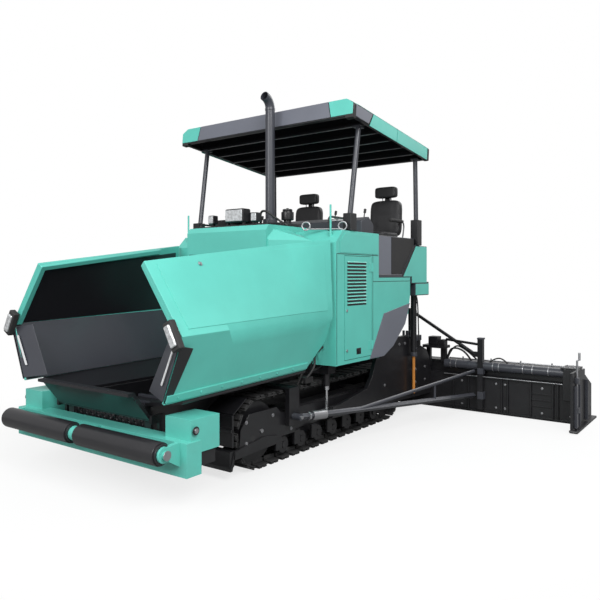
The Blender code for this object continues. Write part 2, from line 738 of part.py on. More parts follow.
def canopy_posts():
    """Round posts, each with a plate at its foot and a head plate under the roof."""
    for end, foot_y, foot_z, top_y, foot_x, top_x in (
        ("front", 2.66, CABINET_Z[1] + GAP, 2.84, 1.17, 1.19),
        ("rear", 4.32, PILLAR_TOP + GAP, 4.30, 1.197, 1.19),
    ):
        for name, side in SIDES:
            foot = Vector((side * foot_x, foot_y, foot_z))
            top = Vector((side * top_x, top_y, canopy_height(top_y)))
            post = rod(f"canopy_post_{end}_{name}", foot + Vector((0, 0, 0.02)), top - Vector((0, 0, 0.012)),
                       POST_R, GREY)
            plate = box(f"post_foot_{end}_{name}", sided(side, (foot_x - 0.05, foot_x + 0.02)),
                        (foot_y - 0.05, foot_y + 0.05), (foot_z, foot_z + 0.03), helper=True)
            head = box(f"post_head_{end}_{name}", (-0.05, 0.05), (-0.05, 0.05), (-0.02, 0), helper=True)
            head.location = top - Vector((0, 0, 0.010 + GAP))
            head.rotation_euler = (CANOPY_SLOPE, 0, 0)
            join(post, plate, head)


def exhaust():
    """Stack on the hood, just ahead of the canopy, with an outlet that bends forward."""
    x, y = STACK_XY
    bend = 0.13
    points = [(x, y, HOOD_TOP + GAP), (x, y, STACK_TOP)]
    points += [
        (x, y - bend + bend * cos(radians(angle)), STACK_TOP + bend * sin(radians(angle)))
        for angle in range(12, 73, 12)
    ]
    stack = pipe("exhaust_stack", points, STACK_R, GREY)
    flange = box("exhaust_flange", (x - 0.10, x + 0.10), (y - 0.07, y + 0.07), (HOOD_TOP + GAP, HOOD_TOP + 0.03),
                 helper=True)
    join(stack, flange)


def precleaner():
    x, y = 0.42, 2.52
    low = rod("air_precleaner", (x, y, HOOD_TOP + GAP), (x, y, HOOD_TOP + 0.10), 0.045, BLACK)
    bowl = rod("precleaner_bowl", (x, y, HOOD_TOP + 0.09), (x, y, HOOD_TOP + 0.22), 0.075, helper=True)
    join(low, bowl)


def headlamps():
    y, z = HOPPER_REAR_Y + 0.16, HOOD_TOP
    bar = box("headlamps", (-0.38, 0.38), (y - 0.02, y + 0.02), (z + GAP, z + 0.03), BLACK)
    for name, side in SIDES:
        join(bar, box("lamp_" + name, sided(side, (0.20, 0.36)), (y - 0.05, y + 0.04), (z + 0.02, z + 0.15),
                      helper=True))


def handrails():
    for name, side in SIDES:
        x = side * 1.00
        z = CABINET_Z[1] + GAP
        rail = pipe("handrail_" + name, [
            (x, 2.52, z), (x, 2.52, z + 0.14), (x, 2.55, z + 0.165), (x, 2.97, z + 0.165), (x, 3.0, z + 0.14),
            (x, 3.0, z),
        ], 0.014, STEEL)


canopy()
canopy_posts()
exhaust()
precleaner()
headlamps()
handrails()


# ---------------------------------------------------------------- tow arms, augers, screed
ARM_OUTLINE = [
    # station, height, counter-clockwise from below the tow point
    (2.52, 0.30), (3.90, 0.25), (SCREED_Y - GAP, 0.20), (SCREED_Y - GAP, 0.66), (4.95, 0.84), (4.30, 1.08),
    (4.05, 1.08), (3.62, 0.97), (3.50, 0.85), (3.40, 0.64), (3.28, 0.52), (2.68, 0.43), (2.52, 0.43),
]


def tow_arms(axis):
    for name, side in SIDES:
        arm = side_slab("tow_arm_" + name, [ARM_OUTLINE], side, ARM_X, BLACK)
        # A faceted bore that still clears its faceted pin when the arm turns
        pin_bore = rod("tow_bore_" + name, (side * 0.9, *TOW_POINT), (side * 1.2, *TOW_POINT),
                       (TOW_PIN_R + GAP) / cos(pi / 20), helper=True)
        cut(arm, pin_bore)
        block = box("valve_block_" + name, sided(side, (0.80, ARM_X[0] + 0.01)), (4.50, 4.85), (0.72, 0.98), helper=True)
        lug = rod("lift_pin_" + name, (side * (ARM_X[1] - 0.01), LIFT_Y, 0.30), (side * (LIFT_X - 0.0205), LIFT_Y, 0.30),
                  0.025, helper=True)
        join(arm, block, lug)
        on_axis(arm, axis)
        for helper in (pin_bore, block, lug):
            on_axis(helper, axis)


def tow_cylinders():
    """Vertical guide, barrel and chrome rod that set the tow point's height."""
    y, z = TOW_POINT
    for name, side in SIDES:
        x = side * 0.985
        barrel = rod("tow_cylinder_" + name, (x, 2.49, 0.56), (x, 2.49, 0.80 - GAP), 0.018, STEEL)
        join(barrel, rod("tow_sleeve_" + name, (x, 2.49, 0.62), (x, 2.49, 0.80 - GAP), 0.034, helper=True))
        join(barrel, rod("tow_rod_" + name, (x, 2.49, 0.33), (x, 2.49, 0.60), 0.018, helper=True))
        eye = box("tow_eye_" + name, sided(side, (0.955, ARM_X[0] - GAP * 2)), (2.46, 2.66), (0.31, 0.41), helper=True)
        pin = rod("tow_pin_" + name, (side * 0.97, y, z), (side * (ARM_X[1] + 0.02), y, z),
                  TOW_PIN_R, helper=True)
        join(barrel, eye, pin)


def lift_cylinders():
    """The rod's eye is open at the arm's pin."""
    for name, side in SIDES:
        x = side * LIFT_X
        barrel = rod("lift_barrel_" + name, (x, LIFT_Y, 0.80), (x, LIFT_Y, 1.62 - GAP), 0.040, BLACK)
        bore = rod("lift_bore_" + name, (x, LIFT_Y, 0.78), (x, LIFT_Y, 1.45), 0.0205 + 0.001, helper=True)
        cut(barrel, bore)
        rod_axis = axis_empty("lift_rod_axis_" + name, (x, LIFT_Y, 0.30))
        piston = rod("lift_rod_" + name, (x, LIFT_Y, 0.30), (x, LIFT_Y, 1.08), 0.020, ORANGE)
        on_axis(piston, rod_axis)


def auger_flight(name, side, x0, x1, turns, steps=14):
    """One helical blade round the shaft, from rings of four points."""
    inner, outer, half = 0.025, AUGER_R, 0.008
    rings = int(turns * steps)
    bm = bmesh.new()
    rows = []
    for ring in range(rings + 1):
        share = ring / rings
        angle = side * (2 * pi * turns * share + 0.1)
        x = side * (x0 + (x1 - x0) * share)
        rows.append([
            bm.verts.new((x + offset, AUGER[0] + radius * cos(angle), AUGER[1] + radius * sin(angle)))
            for offset, radius in ((-half, inner), (half, inner), (half, outer), (-half, outer))
        ])
    for near, far in zip(rows, rows[1:]):
        for index in range(4):
            following = (index + 1) % 4
            bm.faces.new((near[index], near[following], far[following], far[index]))
    bm.faces.new(rows[0])
    bm.faces.new(rows[-1])
    bmesh.ops.recalc_face_normals(bm, faces=bm.faces)
    mesh = bpy.data.meshes.new(name)
    bm.to_mesh(mesh)
    bm.free()
    return add(name, mesh, None, helper=True)


def augers():
    case = box("auger_gearbox", (-0.09, 0.09), (4.54, 4.74), (0.28, 0.90), BLACK)
    join(case, box("gearbox_hanger", (-0.09, 0.09), (FRAME_Y[1] + GAP, 4.60), (0.84, 0.96), helper=True))
    for name, side in SIDES:
        axis = axis_empty("auger_axis_" + name, (0, *AUGER))
        shaft = rod("auger_" + name, (side * (0.09 + GAP), *AUGER), (side * AUGER_END_X, *AUGER), 0.036, BLACK,
                    sides=16)
        flight = auger_flight("auger_flight_" + name, side, 0.13, AUGER_END_X - 0.03, 2.5)
        join(shaft, flight)
        on_axis(shaft, axis)
        on_axis(flight, axis)


SCREED_OUTLINE = [
    # station, height, counter-clockwise from the lower front edge
    (SCREED_Y, SCREED_Z), (SCREED_REAR_Y, SCREED_Z), (SCREED_REAR_Y, 0.36), (5.42, 0.50), (5.42, 0.68),
    (5.16, 0.68), (5.16, 0.52), (SCREED_Y, 0.50),
]


def screed(axis):
    main = slab("screed_main", [SCREED_OUTLINE], SIDE_VIEW, -SCREED_MAIN_X, SCREED_MAIN_X, BLACK)
    helpers = []
    walkway = box("walkway", (-SCREED_MAIN_X, SCREED_MAIN_X), (SCREED_REAR_Y - 0.01, SCREED_REAR_Y + WALKWAY_D),
                  (0.30, 0.34), helper=True)
    helpers.append(walkway)
    for name, side in SIDES:
        tower = side_slab("stay_tower_" + name, [[
            (5.18, 0.66), (5.40, 0.66), (5.24, 1.40), (5.16, 1.40),
        ]], side, (0.66, 0.70), helper=True)
        helpers.append(tower)
    join(main, *helpers)
    on_axis(main, axis)
    for helper in helpers:
        on_axis(helper, axis)
    for name, side in SIDES:
        wing = side_slab("screed_extension_" + name, [SCREED_OUTLINE], side,
                         (SCREED_MAIN_X + GAP, SCREED_END_X), BLACK)
        post = box("stay_post_" + name, sided(side, (STAY_POST_X - 0.035, STAY_POST_X + 0.035)),
                   (SCREED_Y - 0.07, SCREED_Y + 0.005), (0.06, 1.02), helper=True)
        step = box("extension_walkway_" + name, sided(side, (SCREED_MAIN_X + GAP, SCREED_END_X - 0.10)),
                   (SCREED_REAR_Y - 0.01, SCREED_REAR_Y + WALKWAY_D), (0.30, 0.34), helper=True)
        join(wing, post, step)
        stay = rod("screed_stay_" + name, (side * 0.74, 5.19, 1.34),
                   (side * (STAY_POST_X - 0.075), SCREED_Y - 0.035, 0.80), 0.024, BLACK)
        top_lug = box("stay_lug_top_" + name, sided(side, (0.70 + GAP, 0.78)), (5.17, 5.21), (1.30, 1.37), helper=True)
        foot_lug = box("stay_lug_foot_" + name, sided(side, (STAY_POST_X - 0.11, STAY_POST_X - 0.035 - GAP)),
                       (SCREED_Y - 0.055, SCREED_Y - 0.015), (0.77, 0.84), helper=True)
        join(stay, top_lug, foot_lug)
        for piece in (wing, post, step, stay, top_lug, foot_lug):
            on_axis(piece, axis)


def braces():
    """Each brace swings on its front eye, and its rear end is open at the screed's post."""
    for name, side in SIDES:
        eye = Vector((side * BRACE_EYE[0], BRACE_EYE[1], BRACE_EYE[2]))
        end = Vector((side * BRACE_END_X, SCREED_Y - 0.082, BRACE_END_Z))
        high = Vector((side * BRACE_END_X, SCREED_Y - 0.082, 0.58))
        axis = axis_empty("brace_axis_" + name, eye)
        lower = rod("screed_brace_" + name, eye, end, 0.032, BLACK, sides=4)
        run = end - eye
        near = eye + run * 0.27
        upper = rod("brace_upper_" + name, near, high, 0.022, helper=True, sides=12)
        knuckle = rod("brace_eye_" + name, (side * 1.0303, eye.y, eye.z), (side * 1.13, eye.y, eye.z), 0.035,
                      helper=True)
        strut_foot = eye + run * 0.72
        strut_top = near + (high - near) * ((0.72 - 0.27) / (1 - 0.27))
        strut = rod("brace_strut_" + name, strut_foot, strut_top, 0.016, helper=True, sides=12)
        join(lower, upper, knuckle, strut)
        for piece in (lower, upper, knuckle, strut):
            on_axis(piece, axis)


def end_gates(axis):
    for name, side in SIDES:
        gate_axis = axis_empty("end_gate_axis_" + name, (side * (SCREED_END_X + 0.02), 5.1, 0))
        gate = side_slab("end_gate_" + name, [[
            (4.62, 0.03), (5.66, 0.03), (5.66, 0.46), (5.30, 0.62), (5.02, 0.72), (4.62, 0.72),
        ]], side, (SCREED_END_X + GAP, SCREED_END_X + 0.03), BLACK)
        ski = side_slab("gate_ski_" + name, [[
            (4.56, 0.03), (4.60, SCREED_Z), (5.68, SCREED_Z), (5.68, 0.036), (4.66, 0.036), (4.57, 0.05),
        ]], side, (SCREED_END_X + GAP, SCREED_END_X + 0.09), helper=True)
        join(gate, ski)
        on_axis(gate, gate_axis)
        on_axis(ski, gate_axis)


screed_axis = axis_empty("screed_axis", (0, *TOW_POINT))
tow_arms(screed_axis)
tow_cylinders()
lift_cylinders()
augers()
screed(screed_axis)
braces()
end_gates(screed_axis)
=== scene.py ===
"""Tracked asphalt paver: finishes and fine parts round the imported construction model."""

import json
from math import cos, pi, radians, sin

import bmesh
import bpy
from mathutils import Matrix, Vector

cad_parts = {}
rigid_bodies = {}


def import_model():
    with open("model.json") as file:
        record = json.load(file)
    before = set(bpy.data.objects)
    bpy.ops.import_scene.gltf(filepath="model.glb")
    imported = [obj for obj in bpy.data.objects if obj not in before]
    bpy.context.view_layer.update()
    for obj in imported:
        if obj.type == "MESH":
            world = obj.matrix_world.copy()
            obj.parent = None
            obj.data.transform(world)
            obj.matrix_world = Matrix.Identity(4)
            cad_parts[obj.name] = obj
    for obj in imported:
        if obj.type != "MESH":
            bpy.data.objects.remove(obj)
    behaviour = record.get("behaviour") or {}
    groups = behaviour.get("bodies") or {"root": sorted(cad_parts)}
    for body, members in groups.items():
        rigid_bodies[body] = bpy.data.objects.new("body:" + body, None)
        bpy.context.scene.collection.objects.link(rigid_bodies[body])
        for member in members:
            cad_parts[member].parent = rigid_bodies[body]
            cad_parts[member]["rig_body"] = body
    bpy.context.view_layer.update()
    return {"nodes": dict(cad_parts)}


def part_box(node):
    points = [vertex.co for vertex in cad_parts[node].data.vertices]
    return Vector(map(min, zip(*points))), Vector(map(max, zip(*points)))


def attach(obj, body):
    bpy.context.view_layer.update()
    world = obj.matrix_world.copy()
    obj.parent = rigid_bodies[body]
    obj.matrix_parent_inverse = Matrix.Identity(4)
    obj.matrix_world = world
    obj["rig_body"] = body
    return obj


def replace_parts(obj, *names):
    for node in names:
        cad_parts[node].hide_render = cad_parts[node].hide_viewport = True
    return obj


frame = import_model()

# ---------------------------------------------------------------- camera, floor and light
# The machine stands on a pale studio floor under soft lamps, seen level from its front left.
camera_data = bpy.data.cameras.new("studio_camera")
camera_data.lens = 37.67
camera_data.sensor_width = 36.0
camera_data.shift_y = -0.0417
camera_data.clip_end = 200.0
camera = bpy.data.objects.new("studio_camera", camera_data)
camera.location = (4.863, -6.2715, 1.892)
camera.rotation_euler = (radians(90), 0, radians(36.13))
bpy.context.scene.collection.objects.link(camera)
bpy.context.scene.camera = camera
bpy.context.scene.view_settings.view_transform = "Standard"


class Value:
    """A shader socket that sums, products and powers can be written with."""

    def __init__(self, finish, socket):
        self.finish = finish
        self.socket = socket

    def math(self, operation, first, second):
        return self.finish.node("ShaderNodeMath", {"operation": operation}, {0: first, 1: second})

    def __add__(self, other):
        return self.math("ADD", self, other)

    def __sub__(self, other):
        return self.math("SUBTRACT", self, other)

    def __rsub__(self, other):
        return self.math("SUBTRACT", other, self)

    def __mul__(self, other):
        return self.math("MULTIPLY", self, other)

    def __pow__(self, other):
        return self.math("POWER", self, other)

    __radd__ = __add__
    __rmul__ = __mul__


class Finish:
    """A material and the nodes that colour its surface."""

    def __init__(self, name):
        self.material = bpy.data.materials.new(name)
        self.material.use_nodes = True
        self.tree = self.material.node_tree
        self.shader = self.tree.nodes["Principled BSDF"]
        self.output = self.tree.nodes["Material Output"]

    def plug(self, socket, value):
        if isinstance(value, Value):
            self.tree.links.new(value.socket, socket)
        else:
            socket.default_value = value

    def node(self, kind, settings=(), sockets=(), out=0):
        """Any node: its settings, then the values or links of its sockets, and one of its outputs."""
        made = self.tree.nodes.new(kind)
        for name, value in dict(settings).items():
            if name == "stops":
                for element, (place, colour) in zip(made.color_ramp.elements, value):
                    element.position = place
                    element.color = (colour, colour, colour, 1)
            else:
                setattr(made, name, value)
        for name, value in dict(sockets).items():
            self.plug(made.inputs[name], value)
        return Value(self, made.outputs[out])

    def place(self):
        return self.node("ShaderNodeTexCoord", out="Object")

    def noise(self, scale, detail=4.0, roughness=0.55):
        return self.node("ShaderNodeTexNoise", {}, {"Vector": self.place(), "Scale": scale, "Detail": detail,
                                                    "Roughness": roughness}, out="Fac")

    def ramp(self, value, low, high):
        """0 below low, 1 above high."""
        return self.node("ShaderNodeValToRGB", {"stops": ((low, 0.0), (high, 1.0))}, {"Fac": value}, out="Color")

    def mix(self, factor, first, second):
        return self.node("ShaderNodeMix", {"data_type": "RGBA"}, {0: factor, 6: first, 7: second}, out=2)

    def bump(self, height, strength, distance):
        return self.node("ShaderNodeBump", {}, {"Height": height, "Strength": strength, "Distance": distance})

    def set(self, **sockets):
        for name, value in sockets.items():
            self.plug(self.shader.inputs[name.replace("_", " ")], value)
        return self


def tone(colour, factor=1.0):
    return (*[channel * factor for channel in colour], 1.0)


floor_finish = Finish("pale_floor")
seen = floor_finish.node("ShaderNodeLightPath", out="Is Camera Ray")
floor_finish.set(Base_Color=floor_finish.mix(seen, tone((0.26, 0.26, 0.26)), tone((0.86, 0.86, 0.86))), Roughness=0.8)
glow = floor_finish.node("ShaderNodeEmission", {}, {"Color": tone((1, 1, 1)), "Strength": 1.0})
away = floor_finish.node("ShaderNodeVectorMath", {"operation": "LENGTH"}, {0: floor_finish.place()}, out="Value")
far = floor_finish.node("ShaderNodeMapRange", {}, {"Value": away, "From Min": 2.0, "From Max": 4.5, "To Min": 0.72})
both = floor_finish.node("ShaderNodeMixShader", {}, {
    0: seen * far, 1: Value(floor_finish, floor_finish.shader.outputs[0]), 2: glow})
floor_finish.plug(floor_finish.output.inputs["Surface"], both)

bpy.ops.mesh.primitive_plane_add(size=160, location=(0, 0, 0))
floor = bpy.context.object
floor.name = "studio_floor"
floor.data.materials.append(floor_finish.material)

world = bpy.data.worlds.new("studio")
bpy.context.scene.world = world
world.use_nodes = True
sky = world.node_tree
background = sky.nodes["Background"]
background.inputs["Color"].default_value = (1, 1, 1, 1)
path = sky.nodes.new("ShaderNodeLightPath")
direct = sky.nodes.new("ShaderNodeMath")
direct.operation = "MAXIMUM"
sky.links.new(path.outputs["Is Camera Ray"], direct.inputs[0])
sky.links.new(path.outputs["Is Transmission Ray"], direct.inputs[1])
strength = sky.nodes.new("ShaderNodeMapRange")
strength.inputs["To Min"].default_value = 0.47
strength.inputs["To Max"].default_value = 1.0
sky.links.new(direct.outputs[0], strength.inputs["Value"])
sky.links.new(strength.outputs[0], background.inputs["Strength"])

for lamp_name, place, size, power in (
    ("key_lamp", (8.5, -5.0, 8.5), 6.0, 960.0),
    ("front_lamp", (0.5, -10.0, 6.0), 5.0, 470.0),
    ("rear_lamp", (2.0, 9.0, 8.0), 6.0, 300.0),
):
    lamp_data = bpy.data.lights.new(lamp_name, "AREA")
    lamp_data.size = size
    lamp_data.energy = power
    lamp = bpy.data.objects.new(lamp_name, lamp_data)
    lamp.location = place
    lamp.rotation_euler = (Vector((0, 0, 1.2)) - Vector(place)).to_track_quat("-Z", "Y").to_euler()
    bpy.context.scene.collection.objects.link(lamp)


# ---------------------------------------------------------------- paints
# Machine enamel over steel: even colour, faint orange peel, dull dust low on the machine.
def enamel(name, colour, roughness, dust=0.5, grime=0.35):
    finish = Finish(name)
    height = finish.node("ShaderNodeSeparateXYZ", {}, {0: finish.place()}, out="Z")
    low = finish.node("ShaderNodeMapRange", {}, {"Value": height, "From Min": 1.0, "From Max": 0.1})
    patches = finish.ramp(finish.noise(2.3), 0.35, 0.75)
    spots = finish.ramp(finish.noise(38.0, 6.0), 0.45, 0.8)
    dirt = (low * dust + patches * spots * grime * 0.25) * finish.ramp(finish.noise(7.0), 0.2, 0.9)
    base = finish.mix(patches, tone(colour, 0.94), tone(colour, 1.04))
    finish.set(
        Base_Color=finish.mix(dirt * 0.5, base, tone((0.16, 0.15, 0.14))),
        Roughness=dirt * 0.4 + patches * 0.05 + roughness,
        Normal=finish.bump(finish.noise(240.0, 2.0), 0.05, 0.002),
        Coat_Weight=0.25,
        Coat_Roughness=0.12,
    )
    return finish.material


MINT = enamel("mint_enamel", (0.115, 0.57, 0.485), 0.36)
BLACK = enamel("black_enamel", (0.0085, 0.0085, 0.0105), 0.36, dust=0.10, grime=0.15)
CHARCOAL = enamel("charcoal_enamel", (0.045, 0.048, 0.060), 0.38, dust=0.15, grime=0.2)
SLATE = enamel("slate_enamel", (0.155, 0.165, 0.2), 0.40, dust=0.2)


def deselect():
    bpy.ops.object.select_all(action="DESELECT")


def pick(obj):
    deselect()
    obj.select_set(True)
    bpy.context.view_layer.objects.active = obj


def apply_all(obj):
    pick(obj)
    for modifier in list(obj.modifiers):
        bpy.ops.object.modifier_apply(modifier=modifier.name)


def rounded(obj, width, segments=2, angle=32):
    """Rounds the hard edges of obj and shades it smooth up to them."""
    bevel = obj.modifiers.new("edges", "BEVEL")
    bevel.width = width
    bevel.segments = segments
    bevel.limit_method = "ANGLE"
    bevel.angle_limit = radians(angle)
    bevel.harden_normals = False
    apply_all(obj)
    bpy.ops.object.shade_smooth_by_angle(angle=radians(angle + 8))
    obj.modifiers.new("faces", "WEIGHTED_NORMAL").keep_sharp = True
    apply_all(obj)
    return obj


def fit(obj, body, material):
    """Paints a finished piece and lets it move with its body."""
    obj.data.materials.clear()
    obj.data.materials.append(material)
    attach(obj, body)
    return obj


def body_of(node):
    return frame["nodes"][node]["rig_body"]


def dressed(node, material, width=0.004, angle=32):
    """The same plate or casting with its sharp edges rounded off and one paint over it."""
    source = frame["nodes"][node]
    copy = bpy.data.objects.new(node + "_dressed", source.data.copy())
    bpy.context.scene.collection.objects.link(copy)
    mesh = bmesh.new()
    mesh.from_mesh(copy.data)
    bmesh.ops.remove_doubles(mesh, verts=mesh.verts, dist=0.00005)
    bmesh.ops.dissolve_limit(mesh, angle_limit=radians(1.0), verts=mesh.verts, edges=mesh.edges)
    mesh.to_mesh(copy.data)
    mesh.free()
    rounded(copy, width, angle=angle)
    fit(copy, body_of(node), material)
    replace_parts(copy, node)
    return copy


SIDES = (("left", 1), ("right", -1))


def new_piece(name):
    """Names the active primitive and puts its place and size into its mesh."""
    piece = bpy.context.object
    piece.name = name
    bpy.ops.object.transform_apply(location=True, rotation=True, scale=True)
    return piece


def block(name, x, y, z, width=0.004, segments=2):
    """A solid block between two values on each axis, with rounded edges."""
    deselect()
    bpy.ops.mesh.primitive_cube_add(size=1, location=[(lo + hi) / 2 for lo, hi in (x, y, z)],
                                    scale=[hi - lo for lo, hi in (x, y, z)])
    return rounded(new_piece(name), width, segments)


def bar(name, start, end, radius, width=0.003, sides=32):
    """A round bar or disc from start to end."""
    start, end = Vector(start), Vector(end)
    run = end - start
    deselect()
    bpy.ops.mesh.primitive_cylinder_add(vertices=sides, radius=radius, depth=run.length, location=(start + end) / 2,
                                        rotation=run.to_track_quat("Z", "Y").to_euler())
    return rounded(new_piece(name), width)


def cut_plate(name, corners, thickness, width=0.003):
    """A flat plate whose face has these corners, pushed out along its normal to its thickness."""
    deselect()
    bpy.ops.mesh.primitive_circle_add(vertices=len(corners), fill_type="NGON")
    plate = new_piece(name)
    for vertex, corner in zip(plate.data.vertices, corners):
        vertex.co = corner
    plate.data.update()
    normal = plate.data.polygons[0].normal * thickness
    bpy.ops.object.mode_set(mode="EDIT")
    bpy.ops.mesh.select_all(action="SELECT")
    bpy.ops.mesh.extrude_region_move(TRANSFORM_OT_translate={"value": normal})
    bpy.ops.mesh.select_all(action="SELECT")
    bpy.ops.mesh.normals_make_consistent(inside=False)
    bpy.ops.object.mode_set(mode="OBJECT")
    return rounded(plate, width) if width else plate


def hose(name, points, radius, sides=3):
    """A bent tube through its points."""
    curve = bpy.data.curves.new(name, "CURVE")
    curve.dimensions = "3D"
    curve.bevel_depth = radius
    curve.bevel_resolution = sides
    curve.use_fill_caps = True
    spline = curve.splines.new("NURBS")
    spline.points.add(len(points) - 1)
    spline.order_u = 3
    spline.use_endpoint_u = True
    for point, place in zip(spline.points, points):
        point.co = (*place, 1)
    curve.resolution_u = 6
    tube = bpy.data.objects.new(name, curve)
    bpy.context.scene.collection.objects.link(tube)
    pick(tube)
    bpy.ops.object.convert(target="MESH")
    bpy.ops.object.mode_set(mode="EDIT")
    bpy.ops.mesh.select_all(action="SELECT")
    bpy.ops.mesh.remove_doubles(threshold=0.00005)
    bpy.ops.mesh.normals_make_consistent(inside=False)
    bpy.ops.object.mode_set(mode="OBJECT")
    bpy.ops.object.shade_smooth_by_angle(angle=radians(50))
    return bpy.context.object


def together(name, pieces):
    """One mesh of several pieces that are welded or bolted together."""
    deselect()
    for piece in pieces:
        piece.select_set(True)
    bpy.context.view_layer.objects.active = pieces[0]
    if len(pieces) > 1:
        bpy.ops.object.join()
    pieces[0].name = name
    return pieces[0]


def copied(piece, offset):
    """A second one of a piece, moved by an offset."""
    twin = bpy.data.objects.new(piece.name, piece.data.copy())
    bpy.context.scene.collection.objects.link(twin)
    for vertex in twin.data.vertices:
        vertex.co += Vector(offset)
    return twin


def bolts(name, places, axis, radius=0.012, height=0.009):
    """Hexagon bolt heads on washers, at their places on a face."""
    axis = Vector(axis)
    heads = []
    for place in places:
        place = Vector(place)
        heads.append(bar(name, place - axis * 0.001, place + axis * height * 0.3, radius * 1.5, 0.001, 16))
        heads.append(bar(name, place, place + axis * height, radius, 0.0015, 6))
    return together(name, heads)


# Bare metal: turned and ground steel with fine scratches, and a rubbed, oily darker one.
def bare(name, colour, roughness):
    finish = Finish(name)
    streak = finish.noise(60.0, 8.0)
    stain = finish.ramp(finish.noise(5.0), 0.4, 0.8)
    finish.set(Base_Color=finish.mix(stain * 0.5, tone(colour), tone(colour, 0.55)), Metallic=1.0,
               Roughness=streak * 0.18 + stain * 0.12 + roughness,
               Normal=finish.bump(streak, 0.06, 0.001))
    return finish.material


CHROME = bare("chromed_rod", (0.72, 0.73, 0.75), 0.10)
STEEL = bare("zinc_steel", (0.50, 0.50, 0.52), 0.30)


def rubber(name, colour, roughness):
    finish = Finish(name)
    dust = finish.ramp(finish.noise(9.0, 6.0), 0.35, 0.8)
    finish.set(Base_Color=finish.mix(dust * 0.30, tone(colour), tone((0.07, 0.067, 0.065))),
               Roughness=dust * 0.15 + roughness, Normal=finish.bump(finish.noise(160.0, 4.0), 0.15, 0.002))
    return finish.material


RUBBER = rubber("track_pad_rubber", (0.022, 0.022, 0.023), 0.68)
HOSE = rubber("hose_rubber", (0.012, 0.012, 0.013), 0.45)
LINING = enamel("hopper_lining", (0.012, 0.012, 0.015), 0.38, dust=0.1, grime=0.2)
# Lamp and screen glass: the mottled light grey base colour is a painted reflection. The same noise also bumps the glass
# into flutes.
lens = Finish("lamp_glass")
fluting_and_painted_reflection = lens.ramp(lens.noise(34.0, 1.0), 0.35, 0.65)
GLASS = lens.set(Base_Color=lens.mix(fluting_and_painted_reflection, tone((0.50, 0.51, 0.52)), tone((0.74, 0.76, 0.78))), Roughness=0.14,
                 Metallic=0.3, Coat_Weight=1.0, Normal=lens.bump(fluting_and_painted_reflection, 0.3, 0.003)).material
WHITE = enamel("reflector_white", (0.72, 0.73, 0.74), 0.30, dust=0.1)
ROLLER = enamel("roller_steel", (0.016, 0.016, 0.019), 0.30, dust=0.1, grime=0.2)
ORANGE = enamel("orange_paint", (0.62, 0.24, 0.04), 0.42, dust=0.2)

# ---------------------------------------------------------------- push beam and rollers
# A welded cross beam with two hitch boxes, which pushes the lorry's wheels through two free rollers.
roller_low, roller_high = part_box("push_roller_left")
ROLLER_Y = (roller_low.y + roller_high.y) / 2
ROLLER_Z = (roller_low.z + roller_high.z) / 2
ROLLER_R = (roller_high.z - roller_low.z) / 2


def at(x, station, z):
    """A point whose station is measured back from the push rollers' axis."""
    return (x, station + ROLLER_Y, z)


dressed("push_beam", MINT, width=0.006)
beam_low, beam_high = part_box("push_beam")
for side, sign in SIDES:
    low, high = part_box(f"push_roller_{side}")
    shell = together(f"roller_shell_{side}", [
        bar("shell", (low.x + 0.02, ROLLER_Y, ROLLER_Z), (high.x - 0.02, ROLLER_Y, ROLLER_Z), ROLLER_R, 0.008, 64),
        bar("end_low", (low.x, ROLLER_Y, ROLLER_Z), (low.x + 0.03, ROLLER_Y, ROLLER_Z), ROLLER_R * 0.86, 0.004, 48),
        bar("end_high", (high.x - 0.03, ROLLER_Y, ROLLER_Z), (high.x, ROLLER_Y, ROLLER_Z), ROLLER_R * 0.86, 0.004, 48),
    ])
    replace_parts(fit(shell, f"push_roller_{side}", ROLLER), f"push_roller_{side}")
    outer = sign * 1.164
    fit(together(f"roller_pin_caps_{side}", [
        bar("cap", (outer, ROLLER_Y, ROLLER_Z), (outer + sign * 0.008, ROLLER_Y, ROLLER_Z), 0.040, 0.003, 32),
        bar("lug_bolt", at(sign * 0.07, -0.064, 0.49), at(sign * 0.07, -0.072, 0.49), 0.026, 0.003, 24)]), "chassis", STEEL)
    lug_x = sign * 1.10
    pins = []
    for x in (lug_x, sign * (beam_high.x - 0.004)):
        pins.append(bar("hitch_pin", at(x, 0.26, 0.64), at(x + sign * 0.012, 0.26, 0.64), 0.022, 0.003, 24))
    fit(together(f"hitch_pin_{side}", pins), "chassis", STEEL)
    fit(bar(f"hitch_ring_{side}", at(sign * (beam_high.x - 0.006), 0.26, 0.64), at(sign * beam_high.x, 0.26, 0.64), 0.036),
        "chassis", BLACK)
    fit(bolts(f"hitch_bolts_{side}", [at(sign * 0.60, 0.153, z) for z in (0.36, 0.46)] +
              [at(sign * 0.70, 0.153, z) for z in (0.36, 0.46)], (0, -1, 0)), "chassis", STEEL)

# ---------------------------------------------------------------- hopper
# Two tipping wings of folded plate: painted outside, lined with dark wear plate, stiffened by folded rims.
# Each swings on a long hinge beside a sloping floor. Lamps sit in rubber holders at the folds.
WING_ROWS = (
    # station, hinge side x and z, fold x and z, top edge x and z
    (0.10, 1.0055, 0.8499, 1.213, 1.405, 0.765, 2.000),
    (1.75, 1.0055, 0.8911, 1.200, 1.452, 0.985, 2.205),
    (2.04, 1.0055, 0.8984, 1.197, 1.458, 1.085, 2.238),
    (2.28, 1.1000, 1.1845, 1.195, 1.462, 1.165, 2.265),
)
WING_T = 0.030


def wing_point(sign, station, share):
    """A point of the wing's middle surface: share runs 0 to 1 from hinge to fold, and on to 2 at the top edge."""
    for near, far in zip(WING_ROWS, WING_ROWS[1:]):
        if station <= far[0] + 1e-6:
            break
    step = (station - near[0]) / (far[0] - near[0])
    row = [a + (b - a) * step for a, b in zip(near, far)]
    part = 0 if share <= 1 else 1
    share -= part
    x, z = (row[1 + 2 * part + k] * (1 - share) + row[3 + 2 * part + k] * share for k in (0, 1))
    return Vector(at(sign * x, station, z))


